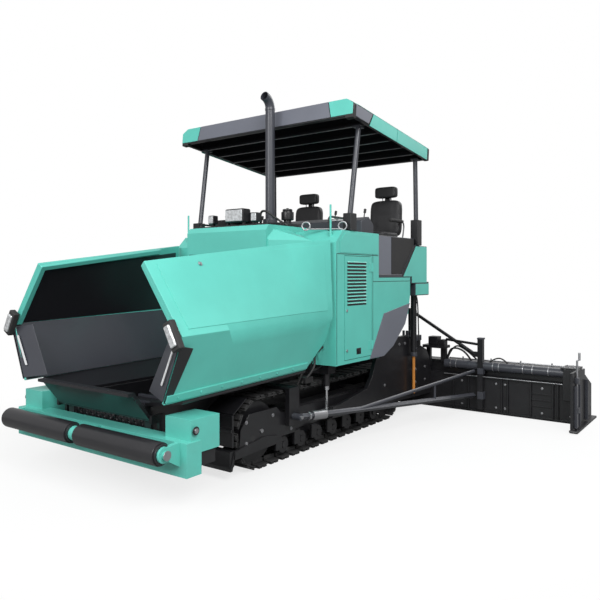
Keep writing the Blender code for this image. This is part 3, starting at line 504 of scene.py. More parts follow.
def wing_skin(name, sign, stations, shares, lift, thickness, width=0.0015):
    """A sheet that follows the wing between its stations and shares, at a height over its middle surface."""
    rows = [stations[0] + (stations[1] - stations[0]) * k / 20 for k in range(21)]
    rows = sorted(set(rows + [row[0] for row in WING_ROWS if stations[0] < row[0] < stations[1]]))
    columns = [shares[0] + (shares[1] - shares[0]) * k / 8 for k in range(9)]
    if shares[0] < 1 < shares[1]:
        columns = sorted(columns[:4] + [1.0] + columns[5:])
    mesh = bpy.data.meshes.new(name)
    build = bmesh.new()
    grid = []
    for station in rows:
        line = []
        for share in columns:
            here = wing_point(sign, station, share)
            near = min(max(share, 0.01), 1.99)
            near = near + 0.005 if near < 1 and near > 0.99 else near
            along = wing_point(sign, min(station + 0.01, 2.28), near) - wing_point(sign, station - 0.01, near)
            across = wing_point(sign, station, near + 0.01) - wing_point(sign, station, near - 0.01)
            out = along.cross(across).normalized() * (1 if sign < 0 else 1)
            out = out if out.x * sign > 0 else -out
            line.append(build.verts.new(here + out * lift))
        grid.append(line)
    for near, far in zip(grid, grid[1:]):
        for a, b, c, d in zip(near, near[1:], far[1:], far):
            build.faces.new((a, b, c, d))
    bmesh.ops.recalc_face_normals(build, faces=build.faces)
    build.to_mesh(mesh)
    build.free()
    skin = bpy.data.objects.new(name, mesh)
    bpy.context.scene.collection.objects.link(skin)
    wall = skin.modifiers.new("wall", "SOLIDIFY")
    wall.thickness = thickness
    wall.offset = 0
    wall.use_even_offset = True
    apply_all(skin)
    return rounded(skin, width, 2, 50)


FOLD, TOP, HINGE = (1.213, 1.405), (0.765, 2.000), (1.00, 0.83)
for side, sign in SIDES:
    wing = f"hopper_wing_{side}"
    shell = wing_skin(f"wing_shell_{side}", sign, (0.10, 2.28), (0, 2), 0, WING_T, 0.004)
    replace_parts(fit(shell, wing, MINT), wing)
    fit(wing_skin(f"wing_lining_upper_{side}", sign, (0.16, 2.20), (1.02, 1.90), -0.0175, 0.005), wing, LINING)
    fit(wing_skin(f"wing_lining_lower_{side}", sign, (0.104, 2.12), (0.0, 0.985), -0.0175, 0.006), wing, CHARCOAL)
    fit(together(f"wing_rims_{side}", [
        wing_skin("top_rim", sign, (0.10, 1.80), (1.93, 2.0), -0.034, 0.040, 0.006),
        wing_skin("front_rim", sign, (0.10, 0.155), (1.03, 1.97), -0.034, 0.040, 0.006)]), wing, MINT)
    fit(wing_skin(f"wing_cover_{side}", sign, (0.20, 2.18), (1.07, 1.94), 0.0175, 0.006, 0.002), wing, MINT)
    fit(wing_skin(f"wing_foot_{side}", sign, (0.10, 2.04), (0.04, 0.15), 0.022, 0.018, 0.003), wing, MINT)
    dressed(f"hopper_floor_{side}", LINING, width=0.003)
    # Folded steel cheek that closes the wing's front below the fold, with its bright marker strip
    face = 0.092
    fit(cut_plate(f"wing_cheek_{side}", [
        at(sign * (HINGE[0] + 0.015), face, HINGE[1] + 0.045), at(sign * (FOLD[0] + 0.002), face, FOLD[1] - 0.045),
        at(sign * (FOLD[0] - 0.20), face + 0.09, FOLD[1] - 0.005), at(sign * (HINGE[0] - 0.25), face + 0.09, HINGE[1] + 0.09),
    ], 0.008), wing, CHARCOAL)
    fit(cut_plate(f"wing_edge_{side}", [
        at(sign * (HINGE[0] + 0.026), face - 0.004, HINGE[1] + 0.03), at(sign * (FOLD[0] + 0.012), face - 0.004, FOLD[1] - 0.07),
        at(sign * (FOLD[0] + 0.016), face + 0.13, FOLD[1] - 0.10), at(sign * (HINGE[0] + 0.03), face + 0.07, HINGE[1] + 0.04),
    ], sign * 0.005), wing, BLACK)
    fit(cut_plate(f"wing_strip_{side}", [
        at(sign * (HINGE[0] + 0.000), face + 0.006, HINGE[1] + 0.17), at(sign * (FOLD[0] - 0.075), face - 0.004, FOLD[1] - 0.12),
        at(sign * (FOLD[0] - 0.095), face + 0.002, FOLD[1] - 0.115), at(sign * (HINGE[0] - 0.022), face + 0.012, HINGE[1] + 0.175),
    ], 0.006, 0.001), wing, WHITE)
    corner = Vector(at(sign * (FOLD[0] - 0.035), 0.052, FOLD[1] + 0.01))
    lean = Matrix.Rotation(-sign * 0.5, 4, "Y")
    for part, paint, slot in (
        (block(f"lamp_bracket_{side}", (-0.050, 0.050), (-0.026, 0.036), (-0.125, 0.125), 0.012, 3), RUBBER, "track_rubber"),
        (block(f"wing_lamp_{side}", (-0.034, 0.034), (-0.046, -0.020), (-0.092, 0.092), 0.020, 4), GLASS, "lamp_plastic"),
    ):
        part.data.transform(lean)
        for vertex in part.data.vertices:
            vertex.co += corner
        fit(part, wing, paint)
    foot = [wing_point(sign, 0.22 + 0.26 * step, 0.095) + Vector((sign * 0.029, 0, -0.010)) for step in range(7)]
    fit(bolts(f"wing_foot_bolts_{side}", foot, (sign * 0.94, 0, -0.34), 0.010, 0.008), wing, MINT)
    eye = wing_point(sign, 0.62, 1.86) + Vector((sign * 0.014, 0, 0.017))
    fit(bolts(f"wing_eye_{side}", [eye], (sign * 0.80, 0, 0.60), 0.015, 0.012), wing, STEEL)

dressed("front_apron", LINING, width=0.003)
# Chain curtain and slats that show below the apron
links = []
for column in range(13):
    x = -0.54 + 0.09 * column
    for row in range(3):
        z = 0.60 - 0.045 * row
        deselect()
        bpy.ops.mesh.primitive_torus_add(major_radius=0.020, minor_radius=0.006, major_segments=12, minor_segments=6,
                                         location=at(x, 0.345, z), rotation=(pi / 2 if row % 2 else 0, pi / 2, 0))
        links.append(new_piece("link"))
curtain = together("apron_chains", links)
bpy.ops.object.shade_smooth()
fit(curtain, "chassis", BLACK)
for side, _ in SIDES:
    dressed(f"conveyor_{side}", LINING, width=0.003)
    low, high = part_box(f"conveyor_{side}")
    slat = block("slat", (low.x + 0.01, high.x - 0.01), (low.y + 0.02, low.y + 0.06), (high.z, high.z + 0.025), 0.003)
    slats = [slat] + [copied(slat, (0, 0.22 * step, 0)) for step in range(1, 9)]
    fit(together(f"conveyor_slats_{side}", slats), "chassis", CHARCOAL)

# ---------------------------------------------------------------- tracks
# A closed chain of steel shoes, each with its rubber pad, round an idler and a sprocket.
IDLER, SPROCKET, LOOP_R = 1.40, 4.00, 0.335
straight = SPROCKET - IDLER
loop = 2 * straight + 2 * pi * LOOP_R
SHOES = 40


def on_loop(distance):
    """Station, height and heading of a point on the loop, from the top front and rearwards."""
    half = pi * LOOP_R
    centre = 0.36
    if distance < straight:
        return IDLER + distance, centre + LOOP_R, 0.0
    distance -= straight
    if distance < half:
        angle = distance / LOOP_R
        return SPROCKET + LOOP_R * sin(angle), centre + LOOP_R * cos(angle), -angle
    distance -= half
    if distance < straight:
        return SPROCKET - distance, centre - LOOP_R, -pi
    angle = (distance - straight) / LOOP_R
    return IDLER - LOOP_R * sin(angle), centre - LOOP_R * cos(angle), -pi - angle


for side, sign in SIDES:
    low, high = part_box(f"track_{side}")
    middle = (low.x + high.x) / 2
    shoe = together("shoe", [
        block("plate", (low.x, high.x), (-0.072, 0.072), (-0.012, 0.002), 0.003, 1),
        block("pad", (low.x + 0.004, high.x - 0.004), (-0.060, -0.006), (0.002, 0.023), 0.005, 1),
        block("pad", (low.x + 0.004, high.x - 0.004), (0.010, 0.060), (0.002, 0.023), 0.005, 1),
        block("chain_in", (middle - 0.075, middle - 0.050), (-0.078, 0.078), (-0.052, -0.010), 0.006, 1),
        block("chain_out", (middle + 0.050, middle + 0.075), (-0.078, 0.078), (-0.052, -0.010), 0.006, 1),
    ])
    shoes = []
    for index in range(SHOES):
        station, height, heading = on_loop(loop * index / SHOES)
        link = copied(shoe, (0, 0, 0))
        for vertex in link.data.vertices:
            x, y, z = vertex.co
            vertex.co = at(x, station + y * cos(heading) - z * sin(heading), height + y * sin(heading) + z * cos(heading))
        shoes.append(link)
    bpy.data.objects.remove(shoe, do_unlink=True)
    belt = together(f"track_belt_{side}", shoes)
    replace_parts(fit(belt, "chassis", RUBBER), f"track_{side}")
    dressed(f"track_frame_{side}", BLACK, width=0.004)
    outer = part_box(f"track_frame_{side}")[1 if sign > 0 else 0].x
    rollers = []
    for index in range(7):
        station = 1.78 + 0.31 * index
        rollers.append(bar("roller", at(sign * 0.70, station, 0.155), at(sign * 0.93, station, 0.155), 0.085, 0.006, 24))
        rollers.append(bar("hub", at(sign * 0.90, station, 0.155), at(sign * 0.945, station, 0.155), 0.035, 0.004, 16))
    fit(together(f"bottom_rollers_{side}", rollers), "chassis", BLACK)
    plane = sign * 0.958
    fit(cut_plate(f"track_side_plate_{side}", [
        at(plane, 1.06, 0.24), at(plane, 1.60, 0.20), at(plane, 1.66, 0.26), at(plane, 1.94, 0.26), at(plane, 1.94, 0.47),
        at(plane, 1.70, 0.50), at(plane, 1.62, 0.57), at(plane, 1.20, 0.57), at(plane, 1.08, 0.44)], sign * 0.010),
        "chassis", BLACK)
    span = (min(sign * 0.63, sign * 0.965), max(sign * 0.63, sign * 0.965))
    fit(together(f"track_nose_{side}", [
        cut_plate("cover", [at(sign * 0.63, 0.985, 0.60), at(sign * 0.965, 0.985, 0.60), at(sign * 0.965, 1.17, 0.722),
                            at(sign * 0.63, 1.17, 0.722)], 0.010),
        block("face", span, (0.965 + ROLLER_Y, 0.990 + ROLLER_Y), (0.30, 0.60), 0.006),
        block("rib", span, (0.950 + ROLLER_Y, 0.985 + ROLLER_Y), (0.44, 0.47), 0.004),
        block("shovel", span, (0.935 + ROLLER_Y, 1.00 + ROLLER_Y), (0.12, 0.27), 0.008)]), "chassis", BLACK)
    guards = []
    for station in (1.62, 1.93, 2.24, 2.55, 2.86, 3.17):
        near = (min(sign * 0.93, sign * 0.962), max(sign * 0.93, sign * 0.962))
        guards.append(block("guard", near, (station + ROLLER_Y, station + 0.10 + ROLLER_Y), (0.125, 0.27), 0.006))
    fit(together(f"roller_guards_{side}", guards), "chassis", BLACK)
    fit(bolts(f"track_bolts_{side}", [at(sign * 0.968, station, z) for station, z in
                                      ((1.16, 0.30), (1.16, 0.50), (1.56, 0.50), (1.86, 0.42), (1.86, 0.31))], (sign, 0, 0), 0.013, 0.010),
        "chassis", STEEL)
    fit(bar(f"idler_pin_{side}", at(sign * 0.93, IDLER - 0.02, 0.38), at(sign * 0.982, IDLER - 0.02, 0.38), 0.020),
        "chassis", STEEL)
    fit(bar(f"idler_eye_{side}", at(sign * 0.93, IDLER - 0.14, 0.33), at(sign * 0.9685, IDLER - 0.14, 0.33), 0.030),
        "chassis", RUBBER)

# ---------------------------------------------------------------- canopy
# A deep glass-fibre roof on four posts: ribbed and dark below, grey fascia, painted corner caps and sides.
posts = [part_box(f"canopy_post_{end}_{side}") for end in ("front", "rear") for side, _ in SIDES]
roof_low, roof_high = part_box("canopy_roof")
SLOPE = radians(-6.0)
ROOF_H = 0.20
ROOF_X = roof_high.x
ROOF_D = (roof_high.y - roof_low.y) / cos(SLOPE)
tilt = Matrix.Translation(at(0, 2.50, 3.62)) @ Matrix.Rotation(SLOPE, 4, "X")
dressed("canopy_roof", BLACK, width=0.010)


def tilted(piece, material=None):
    piece.data.transform(tilt)
    return fit(piece, "chassis", material)


ROOF_D = 1.94
CAP = 0.26
front_face = -0.006
tilted(cut_plate("canopy_fascia_front", [(-ROOF_X + CAP + 0.03, front_face, 0.02), (ROOF_X - CAP - 0.03, front_face, 0.02),
                                         (ROOF_X - CAP - 0.07, front_face, ROOF_H), (-ROOF_X + CAP + 0.07, front_face, ROOF_H)],
                 -0.005), SLATE)
for side, sign in SIDES:
    cap = cut_plate(f"canopy_cap_{side}", [
        (sign * (ROOF_X - CAP - 0.02), front_face, 0.02), (sign * ROOF_X, front_face, 0.02),
        (sign * ROOF_X, front_face, ROOF_H - 0.055), (sign * (ROOF_X - 0.09), front_face, ROOF_H),
        (sign * (ROOF_X - CAP - 0.06), front_face, ROOF_H)], -0.006 * sign)
    tilted(cap, MINT)
    edge = sign * (ROOF_X + 0.001)
    tilted(cut_plate(f"canopy_side_front_{side}", [(edge, 0.06, 0.01), (edge, 0.34, 0.01), (edge, 0.42, ROOF_H - 0.06),
                                                   (edge, 0.06, ROOF_H - 0.06)], 0.005 * sign), SLATE)
    tilted(together(f"canopy_side_{side}", [
        cut_plate("panel", [(edge, 0.36, -0.01), (edge, 1.02, -0.01), (edge, 1.02, ROOF_H - 0.055), (edge, 0.44, ROOF_H - 0.055)],
                  0.007 * sign),
        cut_plate("panel", [(edge, 1.03, -0.01), (edge, ROOF_D - 0.06, -0.01), (edge, ROOF_D - 0.06, ROOF_H - 0.055),
                            (edge, 1.03, ROOF_H - 0.055)], 0.007 * sign)]), MINT)
    tilted(block(f"canopy_end_{side}", (min(sign * (ROOF_X - 0.06), sign * (ROOF_X + 0.008)), max(sign * (ROOF_X - 0.06), sign * (ROOF_X + 0.008))),
                 (ROOF_D - 0.055, ROOF_D), (-0.012, ROOF_H - 0.05), 0.010), RUBBER)
    tilted(block(f"canopy_corner_{side}", (min(sign * (ROOF_X - 0.10), sign * (ROOF_X + 0.004)), max(sign * (ROOF_X - 0.10), sign * (ROOF_X + 0.004))),
                 (-0.004, 0.075), (-0.020, 0.075), 0.012), RUBBER)
    tilted(cut_plate(f"canopy_bevel_{side}", [(sign * (ROOF_X + 0.001), 0.10, ROOF_H - 0.05),
                                              (sign * (ROOF_X + 0.001), ROOF_D - 0.02, ROOF_H - 0.05),
                                              (sign * (ROOF_X - 0.09), ROOF_D - 0.02, ROOF_H + 0.001),
                                              (sign * (ROOF_X - 0.09), 0.02, ROOF_H + 0.001)], 0.004 * sign), MINT)
    for end, top in (("front", 2.84), ("rear", 4.30)):
        low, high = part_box(f"canopy_post_{end}_{side}")
        foot = (low.x + high.x) / 2
        dressed(f"canopy_post_{end}_{side}", CHARCOAL, width=0.004)
        station = 2.66 if end == "front" else 4.32
        fit(block(f"post_bracket_{end}_{side}", (foot - 0.055, foot + 0.055), [v + ROLLER_Y for v in (station - 0.05, station + 0.07)],
                  (low.z + 0.002, low.z + (0.20 if end == "front" else 0.34)), 0.008), "chassis", BLACK)
tilted(cut_plate("canopy_top", [(-ROOF_X + 0.09, 0.01, ROOF_H), (ROOF_X - 0.09, 0.01, ROOF_H),
                                (ROOF_X - 0.09, ROOF_D - 0.01, ROOF_H), (-ROOF_X + 0.09, ROOF_D - 0.01, ROOF_H)], 0.004), MINT)
ribs = [block("rib", (-ROOF_X + 0.06, ROOF_X - 0.06), (0.30 + 0.318 * step, 0.33 + 0.318 * step), (-0.012, 0.03), 0.004)
        for step in range(5)]
tilted(together("canopy_ribs", ribs), BLACK)
edges = [block("edge", (-ROOF_X + 0.07, ROOF_X - 0.07), (0.302 + 0.318 * step, 0.308 + 0.318 * step), (-0.0145, -0.010), 0.001, 1)
         for step in range(5)]
tilted(together("canopy_rib_edges", edges), STEEL)

# ---------------------------------------------------------------- engine housing
# Pressed-steel hood behind the hopper, with the stack, the air precleaner and the work lamps on top.
dressed("engine_hood", MINT, width=0.010)
dressed("engine", BLACK)
hood_low, hood_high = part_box("engine_hood")
stack_low, stack_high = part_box("exhaust_stack")
STACK_X, STACK_Y, STACK_R = 0.28, 2.37 + ROLLER_Y, 0.055
stack = bpy.data.curves.new("stack", "CURVE")
stack.dimensions = "3D"
stack.bevel_depth = STACK_R
stack.bevel_resolution = 6
spline = stack.splines.new("POLY")
bend, rise = 0.13, 3.82
route = [(STACK_X, STACK_Y, hood_high.z + 0.005), (STACK_X, STACK_Y, rise)] + [
    (STACK_X, STACK_Y - bend + bend * cos(radians(a)), rise + bend * sin(radians(a))) for a in range(10, 81, 10)]
spline.points.add(len(route) - 1)
for point, place in zip(spline.points, route):
    point.co = (*place, 1)
pipe = bpy.data.objects.new("exhaust_pipe", stack)
bpy.context.scene.collection.objects.link(pipe)
pick(pipe)
bpy.ops.object.convert(target="MESH")
pipe = bpy.context.object
wall = pipe.modifiers.new("wall", "SOLIDIFY")
wall.thickness = 0.004
wall.offset = -1
apply_all(pipe)
bpy.ops.object.shade_smooth_by_angle(angle=radians(40))
pipe = together("exhaust_pipe", [
    pipe, bar("collar", (STACK_X, STACK_Y, hood_high.z), (STACK_X, STACK_Y, hood_high.z + 0.10), 0.085, 0.008),
    bar("joint", (STACK_X, STACK_Y, rise - 0.02), (STACK_X, STACK_Y, rise + 0.01), STACK_R + 0.004, 0.003, 32),
    block("foot", (stack_low.x, stack_high.x), (STACK_Y - 0.07, STACK_Y + 0.07), (hood_high.z, hood_high.z + 0.03), 0.006)])
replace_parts(fit(pipe, "chassis", CHARCOAL), "exhaust_stack")
low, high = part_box("air_precleaner")
centre = (low + high) / 2
cleaner = together("precleaner_bowl", [
    bar("neck", (centre.x, centre.y, low.z), (centre.x, centre.y, low.z + 0.10), 0.045, 0.004),
    bar("bowl", (centre.x, centre.y, low.z + 0.09), (centre.x, centre.y, high.z - 0.03), 0.074, 0.012),
    bar("lid", (centre.x, centre.y, high.z - 0.028), (centre.x, centre.y, high.z), 0.058, 0.008),
    bar("nut", (centre.x, centre.y, high.z - 0.01), (centre.x, centre.y, high.z + 0.012), 0.016, 0.003, 6)])
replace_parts(fit(cleaner, "chassis", BLACK), "air_precleaner")

# Work lamps and the black clutter of brackets and boxes along the hood's top
lamp_low, lamp_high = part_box("headlamps")
rail_y = lamp_high.y - 0.03
lamp_body = together("work_lamps", [
    block("foot", (-0.36, 0.36), (rail_y - 0.02, rail_y + 0.02), (lamp_low.z, lamp_low.z + 0.02), 0.003),
    *[block("body", (x - 0.045, x + 0.045), (rail_y - 0.055, rail_y + 0.03), (lamp_low.z + 0.045, lamp_high.z), 0.014, 3)
      for x in (-0.33, 0.33)],
    *[block("stem", (x - 0.012, x + 0.012), (rail_y - 0.015, rail_y + 0.015), (lamp_low.z, lamp_low.z + 0.06), 0.002)
      for x in (-0.33, 0.33, -0.10, 0.14)],
    block("flood", (-0.12, 0.16), (rail_y - 0.04, rail_y + 0.10), (lamp_low.z + 0.05, lamp_high.z + 0.06), 0.018, 3),
    block("flood_rear", (-0.16, 0.20), (rail_y + 0.09, rail_y + 0.16), (lamp_low.z, lamp_high.z + 0.02), 0.010),
])
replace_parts(fit(lamp_body, "chassis", BLACK), "headlamps")
fit(together("work_lamp_lenses", [
    block("lens", (-0.105, 0.145), (rail_y - 0.050, rail_y - 0.035), (lamp_low.z + 0.065, lamp_high.z + 0.045), 0.008, 3),
    *[block("lens", (x - 0.036, x + 0.036), (rail_y - 0.064, rail_y - 0.050), (lamp_low.z + 0.055, lamp_high.z - 0.01), 0.010, 3)
      for x in (-0.33, 0.33)]]), "chassis", GLASS)
fit(block("hood_top_seal", (-0.56, 0.56), [v + ROLLER_Y for v in (1.955, 1.985)], (hood_high.z - 0.002, hood_high.z + 0.012), 0.003),
    "chassis", RUBBER)
fit(together("hood_tray", [
    block("tray", (0.14, 0.54), [v + ROLLER_Y for v in (2.24, 2.60)], (hood_high.z, hood_high.z + 0.045), 0.008),
    block("box", (-0.50, -0.20), [v + ROLLER_Y for v in (2.20, 2.46)], (hood_high.z, hood_high.z + 0.11), 0.010),
    block("box", (-0.12, 0.10), [v + ROLLER_Y for v in (2.36, 2.56)], (hood_high.z, hood_high.z + 0.07), 0.010)]),
    "chassis", BLACK)
fit(together("hood_hoses", [
    hose("hose", [at(0.20, 2.30, 2.47), at(0.26, 2.20, 2.60), at(0.36, 2.18, 2.63), at(0.46, 2.28, 2.52), at(0.56, 2.34, 2.45)], 0.013),
    hose("hose", [at(-0.30, 2.30, 2.53), at(-0.26, 2.16, 2.60), at(-0.10, 2.16, 2.56), at(-0.04, 2.3, 2.47)], 0.012)]),
    "chassis", HOSE)
# Dark sheet over the hood's lower front between the wings: painted shade, standing in for the shadow that falls there.
fit(block("hood_front_painted_shade", (-0.56, 0.56), (hood_low.y - 0.006, hood_low.y + 0.002), (0.985, 2.13), 0.002), "chassis", LINING)

# ---------------------------------------------------------------- cabinets and service doors
# Sheet-steel side cabinets with a louvred service door each, quarter-turn latches and a dark lower skirt.
CABINET_SIDE = 1.22
DOOR_FACE = 1.224
for side, sign in SIDES:
    door = f"service_door_{side}"
    dressed(f"cabinet_{side}", MINT, width=0.010)
    dressed(door, MINT, width=0.004)
    outer = [sign * v for v in (DOOR_FACE - 0.004, DOOR_FACE + 0.0015)]
    outer = (min(outer), max(outer))
    slots = []
    lips = []
    for index in range(13):
        z = 1.565 + 0.038 * index
        slots.append(block("slot", outer, (2.545 + ROLLER_Y, 2.955 + ROLLER_Y), (z - 0.013, z + 0.012), 0.001, 1))
        lips.append(cut_plate("lip", [
            at(sign * (DOOR_FACE - 0.001), 2.540, z + 0.021), at(sign * (DOOR_FACE - 0.001), 2.960, z + 0.021),
            at(sign * (DOOR_FACE + 0.009), 2.955, z + 0.011), at(sign * (DOOR_FACE + 0.009), 2.545, z + 0.011)],
            0.002 * sign, 0))
    fit(together(f"louvre_slots_{side}", slots), door, BLACK)
    fit(together(f"louvre_lips_{side}", lips), door, MINT)
    seal = (min(sign * 1.200, sign * 1.2155), max(sign * 1.200, sign * 1.2155))
    fit(together(f"door_seal_{side}", [
        block("upright", seal, (2.4945 + ROLLER_Y, 2.4995 + ROLLER_Y), (0.955, 2.105), 0.001, 1),
        block("head", seal, (2.495 + ROLLER_Y, 3.075 + ROLLER_Y), (2.1005, 2.1055), 0.001, 1),
        block("sill", seal, (2.495 + ROLLER_Y, 3.075 + ROLLER_Y), (0.9545, 0.9595), 0.001, 1)]), "chassis", RUBBER)
    fit(together(f"door_latches_{side}", [
        bar("latch", at(sign * DOOR_FACE, 2.535, z), at(sign * (DOOR_FACE + 0.008), 2.535, z), 0.016, 0.003, 24)
        for z in (1.06, 1.50)]), door, STEEL)
    fit(together(f"door_lock_{side}", [
        block("plate", outer, (2.74 + ROLLER_Y, 2.84 + ROLLER_Y), (1.00, 1.07), 0.006, 3),
        bar("pull", at(sign * (DOOR_FACE + 0.001), 2.79, 1.035), at(sign * (DOOR_FACE + 0.009), 2.79, 1.035), 0.022, 0.003, 24)]),
        door, BLACK)
    plane = sign * (CABINET_SIDE + 0.0005)
    fit(cut_plate(f"cabinet_skirt_{side}", [
        at(plane, 3.04, 0.918), at(plane, 3.38, 1.43), at(plane, 4.075, 1.53), at(plane, 3.94, 1.27), at(plane, 3.62, 1.02),
        at(plane, 3.38, 0.918)], -0.006 * sign), "chassis", SLATE)
    fit(cut_plate(f"cabinet_panel_{side}", [
        at(plane, 3.13, 1.80), at(plane, 4.06, 1.80), at(plane, 4.06, 1.66), at(plane, 4.06, 1.56), at(plane, 3.38, 1.46),
        at(plane, 3.13, 1.08)], 0.005 * sign), "chassis", MINT)
    fit(cut_plate(f"cabinet_shoulder_{side}", [
        at(plane, 2.40, 2.135), at(plane, 3.24, 2.135), at(plane, 3.24, 2.355), at(plane, 2.50, 2.355), at(plane, 2.40, 2.26)],
        0.005 * sign), "chassis", MINT)
    seams = [cut_plate("seam", [at(plane, a, c), at(plane, b, c), at(plane, b, d), at(plane, a, d)], 0.0012 * sign, 0)
             for a, b, c, d in ((3.112, 3.118, 0.93, 2.36), (3.118, 4.08, 1.812, 1.818), (2.335, 3.24, 2.118, 2.125),
                                (2.335, 2.341, 0.93, 2.118))]
    fit(together(f"cabinet_seams_{side}", seams), "chassis", BLACK)
    # Height pole and lifting rings beside the hopper's rear corner
    fit(together(f"sight_pole_{side}", [
        bar("pole", at(sign * 1.10, 2.40, 2.30), at(sign * 1.10, 2.40, 2.66), 0.011, 0.002, 16),
        bar("foot", at(sign * 1.10, 2.40, 2.28), at(sign * 1.10, 2.40, 2.36), 0.017, 0.002, 16)]), "chassis", MINT)
    rings = []
    for x, station in ((0.80, 2.36), (1.16, 2.55)):
        deselect()
        bpy.ops.mesh.primitive_torus_add(major_radius=0.045, minor_radius=0.009, major_segments=32, minor_segments=10,
                                         location=at(sign * x, station, 2.435), rotation=(pi / 2, 0, 0.4))
        rings.append(new_piece("ring"))
    rings.append(bar("link", at(sign * 0.80, 2.36, 2.400), at(sign * 1.16, 2.55, 2.400), 0.010, 0.002, 16))
    fit(together(f"lifting_rings_{side}", rings), "chassis", STEEL)
    fit(together(f"corner_hoses_{side}", [
        hose("hose", [at(sign * 0.93, 2.10, 0.74), at(sign * 1.02, 2.20, 0.86), at(sign * 0.98, 2.28, 1.02), at(sign * 0.90, 2.30, 1.10)], 0.014),
        hose("hose", [at(sign * 0.90, 2.06, 0.72), at(sign * 0.98, 2.14, 0.98), at(sign * 1.04, 2.27, 1.08), at(sign * 1.06, 2.31, 1.12)], 0.012),
        hose("hose", [at(sign * 0.99, 2.46, 0.92), at(sign * 0.93, 2.36, 0.84), at(sign * 0.92, 2.24, 0.86), at(sign * 0.97, 2.24, 0.96)], 0.010),
        block("clamp", (min(sign * 0.88, sign * 0.98), max(sign * 0.88, sign * 0.98)), (2.10 + ROLLER_Y, 2.24 + ROLLER_Y),
              (0.735, 0.80), 0.006)]), "chassis", HOSE)

# ---------------------------------------------------------------- operator's platform
# Deck of folded plate with side screens, rear pillars and a desk of instruments across the front.
dressed("operator_platform", CHARCOAL, width=0.006)
dressed("control_console", CHARCOAL, width=0.012)
for side, sign in SIDES:
    dressed(f"handrail_{side}", BLACK, width=0.003)
    plane = sign * 1.2005
    fit(cut_plate(f"side_screen_{side}", [at(plane, 3.275, 1.885), at(plane, 3.60, 1.885), at(plane, 3.60, 2.36), at(plane, 3.275, 2.36)],
                  0.005 * sign), "chassis", SLATE)
    fit(cut_plate(f"side_curtain_{side}", [at(plane, 3.615, 1.885), at(plane, 3.86, 1.885), at(plane, 4.235, 2.28), at(plane, 4.235, 2.36),
                                           at(plane, 3.615, 2.36)], 0.004 * sign), "chassis", RUBBER)
    plane = sign * 1.2205
    fit(cut_plate(f"pillar_cover_{side}", [at(plane, 4.14, 1.79), at(plane, 4.585, 1.79), at(plane, 4.585, 2.27), at(plane, 4.262, 2.27),
                                           at(plane, 3.895, 1.872), at(plane, 4.14, 1.872)], 0.005 * sign), "chassis", MINT)
    fit(cut_plate(f"pillar_edge_{side}", [at(plane, 4.235, 2.279), at(plane, 4.262, 2.27), at(plane, 3.895, 1.872), at(plane, 3.845, 1.872)],
                  0.009 * sign, 0.002), "chassis", RUBBER)
    fit(cut_plate(f"step_cover_{side}", [at(plane, 4.25, 1.63), at(plane, 4.65, 1.63), at(plane, 4.65, 1.775), at(plane, 4.25, 1.775)],
                  0.005 * sign), "chassis", MINT)
    fit(together(f"grab_rail_{side}", [
        hose("rail", [at(sign * 1.15, 4.60, 1.95), at(sign * 1.15, 4.64, 1.96), at(sign * 1.15, 4.645, 2.02), at(sign * 1.15, 4.645, 2.20),
                      at(sign * 1.15, 4.64, 2.26), at(sign * 1.15, 4.59, 2.27)], 0.012)]), "chassis", BLACK)
screens = []
knobs = []
for x in (-0.62, 0.62):
    screens.append(cut_plate("screen", [at(x - 0.15, 3.345, 2.572), at(x + 0.15, 3.345, 2.572), at(x + 0.15, 3.475, 2.616),
                                        at(x - 0.15, 3.475, 2.616)], 0.006, 0.002))
    for row in range(2):
        for column in range(6):
            place = Vector(at(x - 0.125 + 0.05 * column, 3.53 + 0.045 * row, 2.598 - 0.037 * row))
            knobs.append(bar("knob", place, place + Vector((0, 0.008, 0.014)), 0.010, 0.002, 12))
    for reach in (-0.22, 0.22):
        base = Vector(at(x + reach, 3.55, 2.575))
        knobs.append(bar("lever", base, base + Vector((0, 0.03, 0.11)), 0.007, 0.001, 12))
        knobs.append(bar("grip", base + Vector((0, 0.03, 0.10)), base + Vector((0, 0.045, 0.155)), 0.017, 0.008, 16))
fit(together("console_screens", screens), "chassis", GLASS)
fit(together("console_controls", knobs), "chassis", RUBBER)

# ---------------------------------------------------------------- seats
# Two sprung seats: vinyl over moulded foam with welted seams, a rounded headrest on two posts, padded arms.
vinyl = Finish("seat_vinyl")
grain = vinyl.noise(210.0, 3.0)
rub = vinyl.ramp(vinyl.noise(4.0), 0.45, 0.8)
VINYL = vinyl.set(Base_Color=vinyl.mix(rub * 0.4, tone((0.020, 0.020, 0.022)), tone((0.050, 0.050, 0.054))),
                  Roughness=rub * 0.14 + 0.46, Normal=vinyl.bump(grain, 0.22, 0.002)).material


